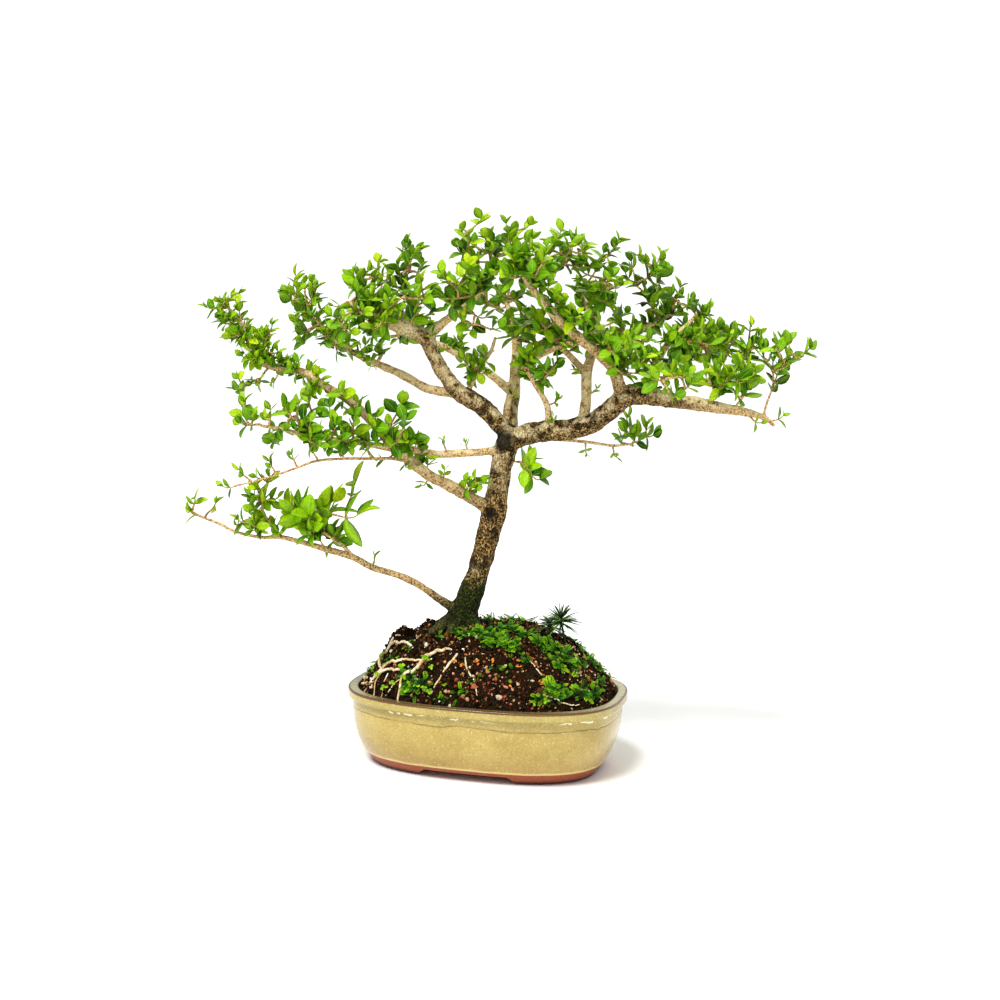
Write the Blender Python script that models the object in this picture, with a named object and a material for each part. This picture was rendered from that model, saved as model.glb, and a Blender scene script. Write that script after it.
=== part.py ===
"""A privet bonsai in an oval glazed pot.

The pot stands on the XY plane with its long side along X, and the middle of the object's box is
above the origin. The tree leans to +X out of a raised rootball. Foliage is held as closed
envelopes, one for each cluster of leafy shoots.
"""

import math

import bmesh
import bpy
import numpy as np
from mathutils import Vector

MM = 0.001
MERGE_DISTANCE = 1e-6
SMOOTH_ANGLE = math.radians(40)
# A cutter is this many times as deep as the plate that it goes through
CUT_THROUGH = 4

# Pot, measured over the rim. In plan it is a superellipse about (POT_X, POT_Y).
POT_X = 0.0
POT_Y = 0.0
POT_LENGTH = 0.252
POT_WIDTH = 0.191
POT_HEIGHT = 0.0695
PLAN_EXPONENT = 2.7
PLAN_POINTS = 40
RIM_HEIGHT = 0.0085
RIM_WIDTH = 0.009
RIM_STEP = 0.0038
RIM_ROUNDING = 0.0008
WALL = 0.007
BASE_THICKNESS = 0.007
FLOOR_CORNER = 0.003
INSIDE_STATIONS = 5
OUTSIDE_STATIONS = 7
BELLY_INSET = 0.0155
BELLY_CURVE = 2.6
SIDE_TAPER = 1.2

# Foot ring under the pot, cut away at the front and the back to leave two C-shaped feet
FOOT_HEIGHT = 0.0106
FOOT_INSET = 0.0225
FOOT_WIDTH = 0.011
RECESS_HEIGHT = 0.008
FLOOR_Z = RECESS_HEIGHT + BASE_THICKNESS
FOOT_GAP_TOP_WIDTH = 0.073
FOOT_GAP_BOTTOM_WIDTH = 0.090
FOOT_GAP_HEIGHT = 0.0069
FOOT_GAP_BELOW = 0.002

# Drain holes, the mesh over each one and the wire clip that holds it
DRAIN_SPACING = 0.092
DRAIN_RADIUS = 0.009
DRAIN_SEGMENTS = 24
SCREEN_SIDE = 0.034
SCREEN_THICKNESS = 0.0012
CELL_PITCH = 0.0106
SCREEN_BAR = 0.0022
WIRE_RADIUS = 0.0007
CLIP_TAIL = 0.007
CELL_HOLE = CELL_PITCH - SCREEN_BAR
# The most cells that fit the mesh's side with one in the middle, where the clip goes through
SCREEN_CELLS = 2 * int(((SCREEN_SIDE - SCREEN_BAR) / CELL_PITCH + MERGE_DISTANCE - 1) / 2) + 1

# Soil, a mound raised well over the rim
SOIL_BELOW_RIM = 0.004
MOUND_RISE = 0.063
MOUND_SHOULDER = 2.6
MOUND_FALL = 0.9
MOUND_SHARES = (1.0, 0.95, 0.89, 0.82, 0.74, 0.65, 0.55, 0.42, 0.28, 0.14)
SOIL_RECESS_HEIGHT = 0.004
SOIL_EDGE_Z = POT_HEIGHT - SOIL_BELOW_RIM
SLOPE_STEP = 0.001

# Tree. Routes below are drawn in millimetres from the root collar, for a tree of DRAWN_HEIGHT,
# with a trunk of DRAWN_TRUNK in diameter.
TREE_HEIGHT = 0.370
DRAWN_HEIGHT = 0.370
TRUNK_DIAMETER = 0.021
DRAWN_TRUNK = 0.021
TREE_SCALE = TREE_HEIGHT / DRAWN_HEIGHT
GIRTH_SCALE = TRUNK_DIAMETER / DRAWN_TRUNK
COLLAR_X = -0.028
COLLAR_Y = -0.007

# Gap left between touching pieces, and between one foliage envelope and the next
CLEARANCE = 0.0003
FOLIAGE_GAP = 0.0015
GROUND_GAP = 0.0006
PEBBLE_GAP = 0.0009
SCREEN_ROOM = 0.0006
SCREEN_Z = FLOOR_Z + CLEARANCE

MOSS_HEIGHT = 0.006
PATCH_RINGS = 3
PATCH_POINTS = 14
PATCH_MIDDLE = 0.15
PATCH_EDGE_FULLNESS = 1.02

# Each route: (x, y, z, radius) in millimetres from the root collar
LIMBS = {
    "trunk": [
        (4, 0, -22, 15), (2, 0, -9, 17), (4, 1, 9, 14), (9, 2, 22, 11.5), (16, 4, 45, 10.5),
        (22, 5, 68, 10.5), (27, 7, 91, 10.8), (30, 8, 108, 11), (33, 8, 126, 9.6),
        (35, 9, 145, 10), (39, 10, 161, 11), (43, 11, 176, 11.5),
    ],
    "right_limb": [
        (36, 10, 166, 10), (65, 14, 176, 10), (91, 18, 179, 9.5), (116, 18, 186, 9),
        (136, 15, 201, 9), (152, 13, 212, 9), (176, 14, 210, 7.5), (207, 20, 206, 6),
        (229, 30, 202, 5), (248, 43, 199, 4), (264, 56, 194, 2.5), (272, 62, 187, 1.5),
    ],
    "front_arch": [
        (144, 15, 206, 6.5), (138, 3, 231, 6), (126, -8, 247, 6), (111, -21, 260, 5.5),
        (95, -29, 274, 5), (80, -36, 292, 4.5), (67, -34, 306, 3.5), (57, -32, 323, 2.5),
    ],
    "rear_riser": [
        (107, 18, 184, 5.5), (107, 32, 209, 5), (104, 44, 229, 5), (105, 61, 245, 4.5),
        (110, 79, 261, 4.5), (101, 89, 278, 4), (91, 94, 292, 3.5), (82, 99, 306, 2.5),
    ],
    "riser_fork": [(104, 44, 229, 3.5), (93, 45, 240, 3), (86, 38, 248, 2.8), (76, 25, 259, 2)],
    "riser_right": [(110, 79, 261, 3.5), (129, 94, 266, 3), (152, 105, 276, 2.6), (166, 110, 284, 2)],
    "small_riser": [(77, 15, 178, 3.5), (76, 11, 200, 2.8), (67, 5, 217, 2.4), (60, -1, 230, 2)],
    "grey_stub": [(37, 13, 176, 3), (38, 18, 204, 2.8), (41, 25, 217, 2.4), (45, 36, 237, 1.8)],
    "left_limb": [
        (42, 11, 172, 9), (20, 0, 197, 8), (1, -11, 210, 7.5), (-13, -16, 227, 6.6),
        (-22, -19, 244, 6.6), (-29, -21, 257, 7), (-42, -26, 265, 6.5), (-56, -34, 269, 4.5),
        (-73, -45, 278, 3), (-93, -46, 288, 2),
    ],
    "left_upper": [(-29, -21, 257, 4.5), (-12, -18, 273, 3.8), (5, -20, 285, 3.2), (22, -21, 301, 2.6),
                   (27, -12, 324, 2)],
    "left_second": [
        (2, -10, 209, 5), (-29, -10, 213, 4), (-52, -10, 224, 3.8), (-75, -10, 233, 3.4),
        (-99, -11, 243, 3), (-118, -12, 253, 2.5), (-138, -11, 269, 2),
    ],
    "left_horizontal": [
        (36, 9, 159, 4), (11, -10, 157, 3.6), (-13, -30, 156, 3.4), (-30, -48, 160, 3),
        (-48, -63, 162, 2.8), (-65, -76, 166, 2.4), (-86, -88, 169, 2.2), (-108, -96, 171, 2),
        (-127, -103, 177, 1.6), (-145, -110, 180, 1.3),
    ],
    "left_lower": [
        (28, 8, 104, 6), (1, -16, 124, 5.2), (-17, -34, 136, 5), (-30, -48, 149, 4.8),
        (-43, -59, 163, 4.5), (-63, -67, 186, 4.2), (-83, -72, 204, 4), (-102, -74, 214, 3.8),
        (-123, -75, 226, 3.6), (-144, -76, 228, 3), (-162, -77, 234, 2.4), (-172, -76, 250, 2),
        (-182, -75, 269, 1.6), (-195, -76, 282, 1.2),
    ],
    "low_branch": [
        (4, 0, 10, 5), (-11, -14, 22, 3.8), (-29, -29, 38, 3.4), (-43, -41, 47, 3.2),
        (-63, -55, 55, 3.1), (-79, -65, 65, 3), (-100, -75, 72, 2.8), (-120, -82, 78, 2.6),
        (-138, -87, 82, 2.3), (-154, -89, 81, 1.6), (-178, -92, 85, 1.4), (-195, -92, 92, 1.2),
    ],
    "low_shoot": [(-138, -87, 82, 1.8), (-146, -91, 95, 1.5), (-151, -95, 106, 1.3), (-148, -94, 126, 1.1)],
    "low_spur": [(-79, -65, 66, 2), (-85, -71, 75, 1.6), (-91, -77, 81, 1.4), (-103, -86, 91, 1.1)],
    "right_whip": [(48, 14, 166, 2.2), (70, 33, 169, 1.7), (104, 48, 167, 1.5), (128, 57, 164, 1.3),
                   (145, 61, 166, 1.1)],
    "back_limb": [
        (40, 12, 170, 8), (36, 34, 191, 7), (33, 56, 209, 6), (29, 76, 231, 5.2),
        (25, 92, 253, 4.4), (18, 104, 276, 3.4), (9, 110, 297, 2.4),
    ],
    "back_left": [(33, 56, 209, 4.5), (5, 70, 227, 4), (-27, 82, 243, 3.4), (-58, 90, 256, 2.8),
                  (-87, 94, 267, 2)],
    "back_right": [(29, 76, 231, 4.2), (50, 95, 247, 3.6), (76, 108, 259, 3), (100, 117, 272, 2.2)],
    "right_riser": [(164, 13, 206, 4), (167, 22, 231, 3.6), (173, 31, 247, 3.4), (180, 41, 260, 3),
                    (191, 55, 273, 2.4), (198, 70, 284, 1.8)],
    "right_back": [(180, 41, 260, 2.6), (196, 76, 259, 2.2), (203, 98, 262, 1.6)],
    "inner_shoot": [(5, -9, 206, 2.4), (12, 3, 227, 2), (21, 16, 247, 1.7), (24, 20, 260, 1.3)],
}
TRUNK_BEVEL_STEPS = 3
LIMB_BEVEL_STEPS = 2
THIN_BEVEL_STEPS = 1
THIN_RADIUS_MM = 4.6
STEPS_PER_SPAN = 2

# Roots bared on the side of the mound: (x, y, radius) in millimetres from the pot's middle
SURFACE_ROOTS = {
    "bold_root": [(-27, -16, 4.5), (-24, -36, 3.4), (-26, -55, 3), (-42, -64, 2.8), (-62, -66, 2.4),
                  (-64, -74, 1.8)],
    "arch_root": [(-36, -10, 4.5), (-56, -18, 3.4), (-78, -22, 3), (-92, -26, 2.5), (-100, -32, 1.8)],
    "side_root": [(-34, -16, 4), (-44, -42, 2.6), (-62, -45, 2.4), (-80, -42, 2.1), (-94, -40, 1.6)],
    "front_root": [(-24, -18, 4), (-14, -42, 2.8), (-14, -57, 2.4), (-20, -68, 2), (-30, -78, 1.5)],
    "right_root": [(-20, -8, 5), (2, -14, 3.6), (22, -24, 2.6), (38, -36, 1.8)],
    "back_root": [(-26, 2, 5), (-20, 22, 3.4), (-6, 44, 2.6), (12, 58, 1.8)],
}
ROOT_EXPOSURE = 0.3

# Envelopes of foliage: centre from the root collar, then half sizes, all in millimetres
FOLIAGE = {
    "foliage_left_tip": ((-193, -73, 281), (20, 22, 16)),
    "foliage_left_spray": ((-170, -72, 253), (24, 26, 20)),
    "foliage_left_column_top": ((-149, -9, 296), (26, 36, 24)),
    "foliage_left_column": ((-128, -19, 264), (34, 40, 20)),
    "foliage_left_twig": ((-167, -102, 215), (20, 16, 10)),
    "foliage_left_low_tip": ((-148, -113, 191), (26, 32, 14)),
    "foliage_left_low": ((-114, -95, 191), (28, 30, 20)),
    "foliage_left_low_mid": ((-80, -84, 195), (26, 32, 26)),
    "foliage_left_low_inner": ((-42, -69, 181), (30, 32, 26)),
    "foliage_upper_left_top": ((-88, -3, 306), (28, 38, 22)),
    "foliage_upper_left_mid": ((-75, -57, 271), (34, 34, 20)),
    "foliage_upper_left_tip": ((-56, 16, 329), (18, 28, 26)),
    "foliage_upper_left_inner": ((-38, -32, 291), (30, 34, 22)),
    "foliage_top_left": ((12, -2, 341), (26, 36, 20)),
    "foliage_top_peak": ((33, 50, 350), (24, 36, 20)),
    "foliage_top_mid": ((65, -30, 318), (32, 34, 20)),
    "foliage_top_right": ((92, 24, 337), (28, 38, 20)),
    "foliage_top_right_tip": ((116, 77, 345), (24, 34, 14)),
    "foliage_centre_left": ((9, -39, 303), (32, 34, 22)),
    "foliage_centre_low_left": ((21, -26, 271), (32, 36, 16)),
    "foliage_centre": ((63, 11, 270), (32, 36, 20)),
    "foliage_centre_low": ((71, -2, 238), (30, 32, 16)),
    "foliage_inner_shoot": ((9, 23, 240), (20, 20, 12)),
    "foliage_right_top": ((116, 36, 312), (32, 38, 20)),
    "foliage_right_top_tip": ((149, 76, 327), (28, 34, 20)),
    "foliage_right_back": ((170, 100, 296), (30, 40, 18)),
    "foliage_right_mid": ((151, -7, 248), (32, 36, 24)),
    "foliage_right_inner": ((196, 52, 258), (34, 40, 22)),
    "foliage_right_front": ((188, -18, 227), (32, 34, 18)),
    "foliage_right_far": ((237, 72, 258), (30, 38, 20)),
    "foliage_right_far_front": ((238, 17, 228), (32, 34, 18)),
    "foliage_right_tip": ((277, 58, 251), (26, 32, 22)),
    "foliage_under_right": ((148, 62, 176), (24, 20, 14)),
    "foliage_low_shoot": ((-148, -94, 122), (14, 16, 32)),
    "foliage_low_spur": ((-112, -89, 103), (28, 26, 18)),
    "foliage_low_big_leaves": ((-80, -76, 115), (20, 20, 20)),
    "foliage_low_tip": ((-213, -92, 106), (28, 20, 16)),
    "foliage_trunk_sprout_right": ((66, 5, 141), (20, 18, 16)),
    "foliage_trunk_sprout_left": ((16, -12, 129), (13, 14, 9)),
    "foliage_back_left": ((-94, 92, 275), (50, 45, 28)),
    "foliage_back_mid": ((-5, 113, 307), (55, 43, 30)),
    "foliage_back_right": ((102, 118, 289), (46, 42, 26)),
    "foliage_back_far_right": ((197, 112, 262), (40, 40, 20)),
}
ENVELOPE_SUBDIVISIONS = 2
PEBBLE_SUBDIVISIONS = 2
SEEDLING_SUBDIVISIONS = 2

# Ground cover on the mound: (x, y, half length, half width, turn in degrees), in millimetres
MOSS = {
    "moss_behind_trunk": (0, 8, 15, 10, 10),
    "moss_front": (22, -46, 16, 9, -12),
    "moss_right": (78, -22, 13, 8, -10),
    "moss_right_rim": (84, -60, 12, 6, 25),
    "moss_left": (-70, -60, 10, 5, -12),
    "moss_back": (40, 46, 22, 12, 15),
}
# Stones lying on the mound: (x, y, length, width, height)
PEBBLES = {
    "pebble_pink": (8, -72, 8, 6, 5),
    "pebble_pale": (31, -76, 7, 6, 4),
    "pebble_rust": (64, -66, 7, 5, 4),
}
SEEDLING_X = 0.066
SEEDLING_Y = 0.002
SEEDLING_STEM_RADIUS = 0.0012
SEEDLING_STEM_LENGTH = 0.014
SEEDLING_CROWN_RADIUS = 0.019
SEEDLING_CROWN_HALF_HEIGHT = 0.010

COLOURS = {
    "glaze": ((0.62, 0.52, 0.20), 0.2, 0.0),
    "soil": ((0.045, 0.028, 0.017), 0.9, 0.0),
    "bark": ((0.25, 0.17, 0.10), 0.8, 0.0),
    "leaf": ((0.16, 0.36, 0.03), 0.45, 0.0),
    "moss": ((0.12, 0.30, 0.04), 0.9, 0.0),
    "needle": ((0.02, 0.07, 0.03), 0.6, 0.0),
    "stone": ((0.55, 0.38, 0.30), 0.7, 0.0),
    "mesh_plastic": ((0.03, 0.03, 0.03), 0.5, 0.0),
    "wire": ((0.75, 0.76, 0.78), 0.35, 1.0),
}


def new_collection(name, hidden=False):
    collection = bpy.data.collections.new(name)
    collection.hide_render = hidden
    bpy.context.scene.collection.children.link(collection)
    return collection


def material(name):
    found = bpy.data.materials.get(name)
    if found:
        return found
    colour, roughness, metallic = COLOURS[name]
    made = bpy.data.materials.new(name)
    made.use_nodes = True
    shader = made.node_tree.nodes["Principled BSDF"]
    shader.inputs["Base Color"].default_value = (*colour, 1.0)
    shader.inputs["Roughness"].default_value = roughness
    shader.inputs["Metallic"].default_value = metallic
    return made


def add_object(name, mesh, collection, finish=None):
    made = bpy.data.objects.new(name, mesh)
    collection.objects.link(made)
    if finish:
        mesh.materials.clear()
        mesh.materials.append(material(finish))
    return made


def add_cutter(name, mesh):
    made = add_object(name, mesh, CUTTERS)
    made.hide_render = True
    made.display_type = "WIRE"
    return made


def mesh_from(bm, name):
    bmesh.ops.recalc_face_normals(bm, faces=bm.faces)
    mesh = bpy.data.meshes.new(name)
    bm.to_mesh(mesh)
    bm.free()
    return mesh


def smooth(obj):
    obj.data.shade_smooth()
    obj.data.set_sharp_from_angle(angle=SMOOTH_ANGLE)


def loft(name, rings):
    """A closed skin over rings of equal point counts, with a flat cap on the first and the last."""
    bm = bmesh.new()
    rows = [[bm.verts.new(point) for point in ring] for ring in rings]
    count = len(rows[0])
    for lower, upper in zip(rows, rows[1:]):
        for i in range(count):
            j = (i + 1) % count
            bm.faces.new((lower[i], lower[j], upper[j], upper[i]))
    bm.faces.new(rows[0][::-1])
    bm.faces.new(rows[-1])
    return mesh_from(bm, name)


def baked(obj):
    """Replaces the object's mesh by the one that its modifiers give."""
    graph = bpy.context.evaluated_depsgraph_get()
    graph.update()
    mesh = bpy.data.meshes.new_from_object(obj.evaluated_get(graph))
    obj.modifiers.clear()
    obj.data = mesh
    return obj


def boolean(obj, operation, other):
    modifier = obj.modifiers.new(operation.title(), "BOOLEAN")
    modifier.operation = operation
    modifier.object = other
    return modifier


def keep_largest(obj):
    """Removes the small offcuts that a cut can leave beside the main body."""
    bm = bmesh.new()
    bm.from_mesh(obj.data)
    unseen = set(bm.faces)
    islands = []
    while unseen:
        queue = [unseen.pop()]
        island = set(queue)
        while queue:
            face = queue.pop()
            beside = {f for edge in face.edges for f in edge.link_faces} & unseen
            unseen -= beside
            island |= beside
            queue.extend(beside)
        islands.append(island)
    largest = max(islands, key=lambda island: sum(face.calc_area() for face in island))
    spare = [face for face in bm.faces if face not in largest]
    bmesh.ops.delete(bm, geom=spare, context="FACES")
    bm.to_mesh(obj.data)
    bm.free()


# Pot ------------------------------------------------------------------------------------------

def plan_ring(half_length, half_width, z, count=PLAN_POINTS):
    """Points of the superellipse |x/a|^n + |y/b|^n = 1 at one height."""
    angle = 2 * np.pi * np.arange(count) / count
    power = 2 / PLAN_EXPONENT
    x = half_length * np.sign(np.cos(angle)) * np.abs(np.cos(angle)) ** power
    y = half_width * np.sign(np.sin(angle)) * np.abs(np.sin(angle)) ** power
    return np.stack([x + POT_X, y + POT_Y, np.full(count, z)], axis=1)


def inset_ring(inset, z, side_taper=1.0):
    return plan_ring(POT_LENGTH / 2 - inset, POT_WIDTH / 2 - inset * side_taper, z)


def wall_inset(z):
    """How far the outside of the wall stands in from the rim at height z."""
    if z <= FOOT_HEIGHT:
        return FOOT_INSET + (BELLY_INSET - FOOT_INSET) * z / FOOT_HEIGHT
    neck = POT_HEIGHT - RIM_HEIGHT
    rise = min((z - FOOT_HEIGHT) / (neck - FOOT_HEIGHT), 1.0)
    return RIM_STEP + (BELLY_INSET - RIM_STEP) * (1 - rise) ** BELLY_CURVE


def outer_ring(z):
    return inset_ring(wall_inset(z), z, SIDE_TAPER)


def inside_profile(clearance=0.0):
    """(z, half length, half width) of the pot's inside from floor to rim, or of a body that fits it."""
    neck = POT_HEIGHT - RIM_HEIGHT
    floor_inset = wall_inset(FLOOR_Z)
    corner = WALL + FLOOR_CORNER + clearance
    stations = [
        (FLOOR_Z + clearance, POT_LENGTH / 2 - floor_inset - corner,
         POT_WIDTH / 2 - floor_inset * SIDE_TAPER - corner)
    ]
    for z in np.linspace(FLOOR_Z + FLOOR_CORNER, neck - RIM_STEP, INSIDE_STATIONS):
        inset = wall_inset(z)
        stations.append(
            (z, POT_LENGTH / 2 - inset - WALL - clearance,
             POT_WIDTH / 2 - inset * SIDE_TAPER - WALL - clearance)
        )
    opening = RIM_WIDTH + clearance
    for z in (neck, POT_HEIGHT - RIM_ROUNDING):
        stations.append((z, POT_LENGTH / 2 - opening, POT_WIDTH / 2 - opening))
    return stations


def make_pot():
    neck = POT_HEIGHT - RIM_HEIGHT
    foot_inner = FOOT_INSET + FOOT_WIDTH
    edge = RIM_ROUNDING
    rings = [
        inset_ring(foot_inner + 2 * edge, RECESS_HEIGHT, SIDE_TAPER),
        inset_ring(foot_inner, 0.0, SIDE_TAPER),
        inset_ring(FOOT_INSET, 0.0, SIDE_TAPER),
    ]
    rings += [outer_ring(z) for z in np.linspace(FOOT_HEIGHT, neck - edge, OUTSIDE_STATIONS)]
    rings += [
        inset_ring(edge, neck, 1.0),
        inset_ring(0.0, neck + edge),
        inset_ring(0.0, POT_HEIGHT - edge),
        inset_ring(edge, POT_HEIGHT),
        inset_ring(RIM_WIDTH - edge, POT_HEIGHT),
    ]
    rings += [plan_ring(a, b, z) for z, a, b in reversed(inside_profile())]
    pot = add_object("pot", loft("pot", rings), PARTS, "glaze")
    boolean(pot, "DIFFERENCE", foot_gap_cutter())
    for side in (-1, 1):
        boolean(pot, "DIFFERENCE", drain_cutter(side))
    smooth(pot)
    return pot


def foot_gap_cutter():
    """A bar with sloping sides that runs under the pot from front to back."""
    bm = bmesh.new()
    bmesh.ops.create_cube(bm, size=1.0)
    slope = (FOOT_GAP_BOTTOM_WIDTH - FOOT_GAP_TOP_WIDTH) / FOOT_GAP_HEIGHT
    bottom_width = FOOT_GAP_BOTTOM_WIDTH + slope * FOOT_GAP_BELOW
    for vert in bm.verts:
        top = vert.co.z > 0
        width = FOOT_GAP_TOP_WIDTH if top else bottom_width
        vert.co.x = POT_X + math.copysign(width / 2, vert.co.x)
        vert.co.y = POT_Y + math.copysign(POT_WIDTH, vert.co.y)
        vert.co.z = FOOT_GAP_HEIGHT if top else -FOOT_GAP_BELOW
    return add_cutter("foot_gap_cutter", mesh_from(bm, "foot_gap_cutter"))


def drain_cutter(side):
    bm = bmesh.new()
    bmesh.ops.create_cone(
        bm, cap_ends=True, segments=DRAIN_SEGMENTS, radius1=DRAIN_RADIUS, radius2=DRAIN_RADIUS,
        depth=CUT_THROUGH * BASE_THICKNESS,
    )
    bmesh.ops.translate(bm, verts=bm.verts, vec=(drain_x(side), POT_Y, FLOOR_Z))
    return add_cutter("drain_cutter", mesh_from(bm, "drain_cutter"))


def drain_x(side):
    return POT_X + side * DRAIN_SPACING / 2


def make_drain_screen(side, name):
    """A square plastic mesh: a plate with rows of square holes."""
    bm = bmesh.new()
    bmesh.ops.create_cube(bm, size=1.0)
    middle = SCREEN_Z + SCREEN_THICKNESS / 2
    bmesh.ops.scale(bm, verts=bm.verts, vec=(SCREEN_SIDE, SCREEN_SIDE, SCREEN_THICKNESS))
    bmesh.ops.translate(bm, verts=bm.verts, vec=(drain_x(side), POT_Y, middle))
    screen = add_object(name, mesh_from(bm, name), PARTS, "mesh_plastic")
    for column in range(SCREEN_CELLS):
        for row in range(SCREEN_CELLS):
            bm = bmesh.new()
            bmesh.ops.create_cube(bm, size=1.0)
            depth = CUT_THROUGH * SCREEN_THICKNESS
            bmesh.ops.scale(bm, verts=bm.verts, vec=(CELL_HOLE, CELL_HOLE, depth))
            offset_x = (column - (SCREEN_CELLS - 1) / 2) * CELL_PITCH
            offset_y = (row - (SCREEN_CELLS - 1) / 2) * CELL_PITCH
            place = (drain_x(side) + offset_x, POT_Y + offset_y, middle)
            bmesh.ops.translate(bm, verts=bm.verts, vec=place)
            boolean(screen, "DIFFERENCE", add_cutter("cell_cutter", mesh_from(bm, "cell_cutter")))
    return screen


def make_screen_clip(side, name):
    """A wire staple over the middle bars, down through the drain hole and out under the base."""
    x = drain_x(side)
    over = SCREEN_Z + SCREEN_THICKNESS + CLEARANCE + WIRE_RADIUS
    under = RECESS_HEIGHT - CLEARANCE - WIRE_RADIUS
    leg = CELL_PITCH / 2 + SCREEN_BAR / 2 + WIRE_RADIUS + CLEARANCE
    tail = DRAIN_RADIUS + CLIP_TAIL
    half_route = [(tail, under), (leg + WIRE_RADIUS, under), (leg, under + WIRE_RADIUS)]
    half_route += [(leg, over - WIRE_RADIUS), (leg - WIRE_RADIUS, over)]
    route = half_route + [(-offset, z) for offset, z in reversed(half_route)]
    points = [(x, POT_Y + offset, z, WIRE_RADIUS / MM) for offset, z in route]
    mesh = tube_mesh(name, points, LIMB_BEVEL_STEPS, smooth_route=False)
    return add_object(name, mesh, PARTS, "wire")


# Soil -----------------------------------------------------------------------------------------

def mound_height(x, y):
    """The soil's height: level in the middle, falling ever faster to the pot's wall."""
    a, b = soil_half_sizes()
    share = (abs((x - POT_X) / a) ** PLAN_EXPONENT + abs((y - POT_Y) / b) ** PLAN_EXPONENT)
    share = min(share ** (1 / PLAN_EXPONENT), 1.0)
    return SOIL_EDGE_Z + MOUND_RISE * (1 - share**MOUND_SHOULDER) ** MOUND_FALL


def soil_half_sizes():
    """Half length and half width of the soil at its top edge."""
    heights, lengths, widths = zip(*inside_profile(CLEARANCE))
    return np.interp(SOIL_EDGE_Z, heights, lengths), np.interp(SOIL_EDGE_Z, heights, widths)


def make_soil(wood_space):
    a, b = soil_half_sizes()
    below = [station for station in inside_profile(CLEARANCE) if station[0] < SOIL_EDGE_Z]
    rings = [plan_ring(half_length, half_width, z) for z, half_length, half_width in below]
    for share in MOUND_SHARES:
        ring = plan_ring(a * share, b * share, 0.0)
        ring[:, 2] = [mound_height(x, y) for x, y, _ in ring]
        rings.append(ring)
    soil = add_object("soil", loft("soil", rings), PARTS, "soil")
    boolean(soil, "DIFFERENCE", wood_space)
    for side in (-1, 1):
        boolean(soil, "DIFFERENCE", screen_space(side))
    smooth(soil)
    return soil


def screen_space(side):
    """The room that the soil leaves over a drain screen and its clip."""
    bm = bmesh.new()
    bmesh.ops.create_cube(bm, size=1.0)
    size = SCREEN_SIDE + 2 * SCREEN_ROOM
    height = SOIL_RECESS_HEIGHT + BASE_THICKNESS
    bmesh.ops.scale(bm, verts=bm.verts, vec=(size, size, height))
    middle = FLOOR_Z + SOIL_RECESS_HEIGHT - height / 2
    bmesh.ops.translate(bm, verts=bm.verts, vec=(drain_x(side), POT_Y, middle))
    return add_cutter("screen_space", mesh_from(bm, "screen_space"))


# Tree -----------------------------------------------------------------------------------------

def tube_mesh(name, points, bevel_steps, smooth_route=True, extra=0.0):
    """A round tube along (x, y, z, radius in mm) points, as a closed mesh."""
    curve = bpy.data.curves.new(name, "CURVE")
    curve.dimensions = "3D"
    curve.bevel_depth = MM
    curve.bevel_resolution = bevel_steps
    curve.use_fill_caps = True
    curve.resolution_u = STEPS_PER_SPAN
    if smooth_route:
        spline = curve.splines.new("BEZIER")
        spline.bezier_points.add(len(points) - 1)
        for knot, (x, y, z, radius) in zip(spline.bezier_points, points):
            knot.co = (x, y, z)
            knot.radius = radius + extra / MM
            knot.handle_left_type = "AUTO"
            knot.handle_right_type = "AUTO"
    else:
        spline = curve.splines.new("POLY")
        spline.points.add(len(points) - 1)
        for knot, (x, y, z, radius) in zip(spline.points, points):
            knot.co = (x, y, z, 1.0)
            knot.radius = radius
    holder = bpy.data.objects.new(name, curve)
    CUTTERS.objects.link(holder)
    graph = bpy.context.evaluated_depsgraph_get()
    graph.update()
    mesh = bpy.data.meshes.new_from_object(holder.evaluated_get(graph))
    bpy.data.objects.remove(holder)
    bm = bmesh.new()
    bm.from_mesh(mesh)
    bmesh.ops.remove_doubles(bm, verts=bm.verts, dist=MERGE_DISTANCE)
    bmesh.ops.recalc_face_normals(bm, faces=bm.faces)
    bm.to_mesh(mesh)
    bm.free()
    return mesh


def tree_place(x, y, z):
    """A point drawn in millimetres from the root collar, in the object's frame."""
    return COLLAR + Vector((x, y, z)) * MM * TREE_SCALE


def limb_points(route):
    return [(*tree_place(x, y, z), radius * GIRTH_SCALE) for x, y, z, radius in route]


def root_points(route):
    """Lays a root on the mound, with ROOT_EXPOSURE of its radius above its own middle line."""
    points = []
    for x_mm, y_mm, radius in route:
        x = POT_X + x_mm * MM
        y = POT_Y + y_mm * MM
        height = mound_height(x, y) + ROOT_EXPOSURE * radius * MM
        points.append((x, y, height, radius * GIRTH_SCALE))
    return points


def make_wood(name, collection, extra=0.0):
    """Trunk, limbs and bared roots as one body; extra swells it to make room round it."""
    trunk = add_object(
        name, tube_mesh(name, limb_points(LIMBS["trunk"]), TRUNK_BEVEL_STEPS, extra=extra), collection
    )
    routes = {limb: limb_points(route) for limb, route in LIMBS.items() if limb != "trunk"}
    routes.update({root: root_points(route) for root, route in SURFACE_ROOTS.items()})
    for limb, points in routes.items():
        steps = LIMB_BEVEL_STEPS if points[0][3] > THIN_RADIUS_MM else THIN_BEVEL_STEPS
        mesh = tube_mesh(limb, points, steps, extra=extra)
        joined = add_cutter(limb, mesh)
        boolean(trunk, "UNION", joined)
        baked(trunk)
        bpy.data.objects.remove(joined)
    return trunk


def support(half_sizes, direction):
    """How far an ellipsoid reaches from its centre along a unit direction."""
    return math.sqrt(sum((size * part) ** 2 for size, part in zip(half_sizes, direction)))


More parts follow.
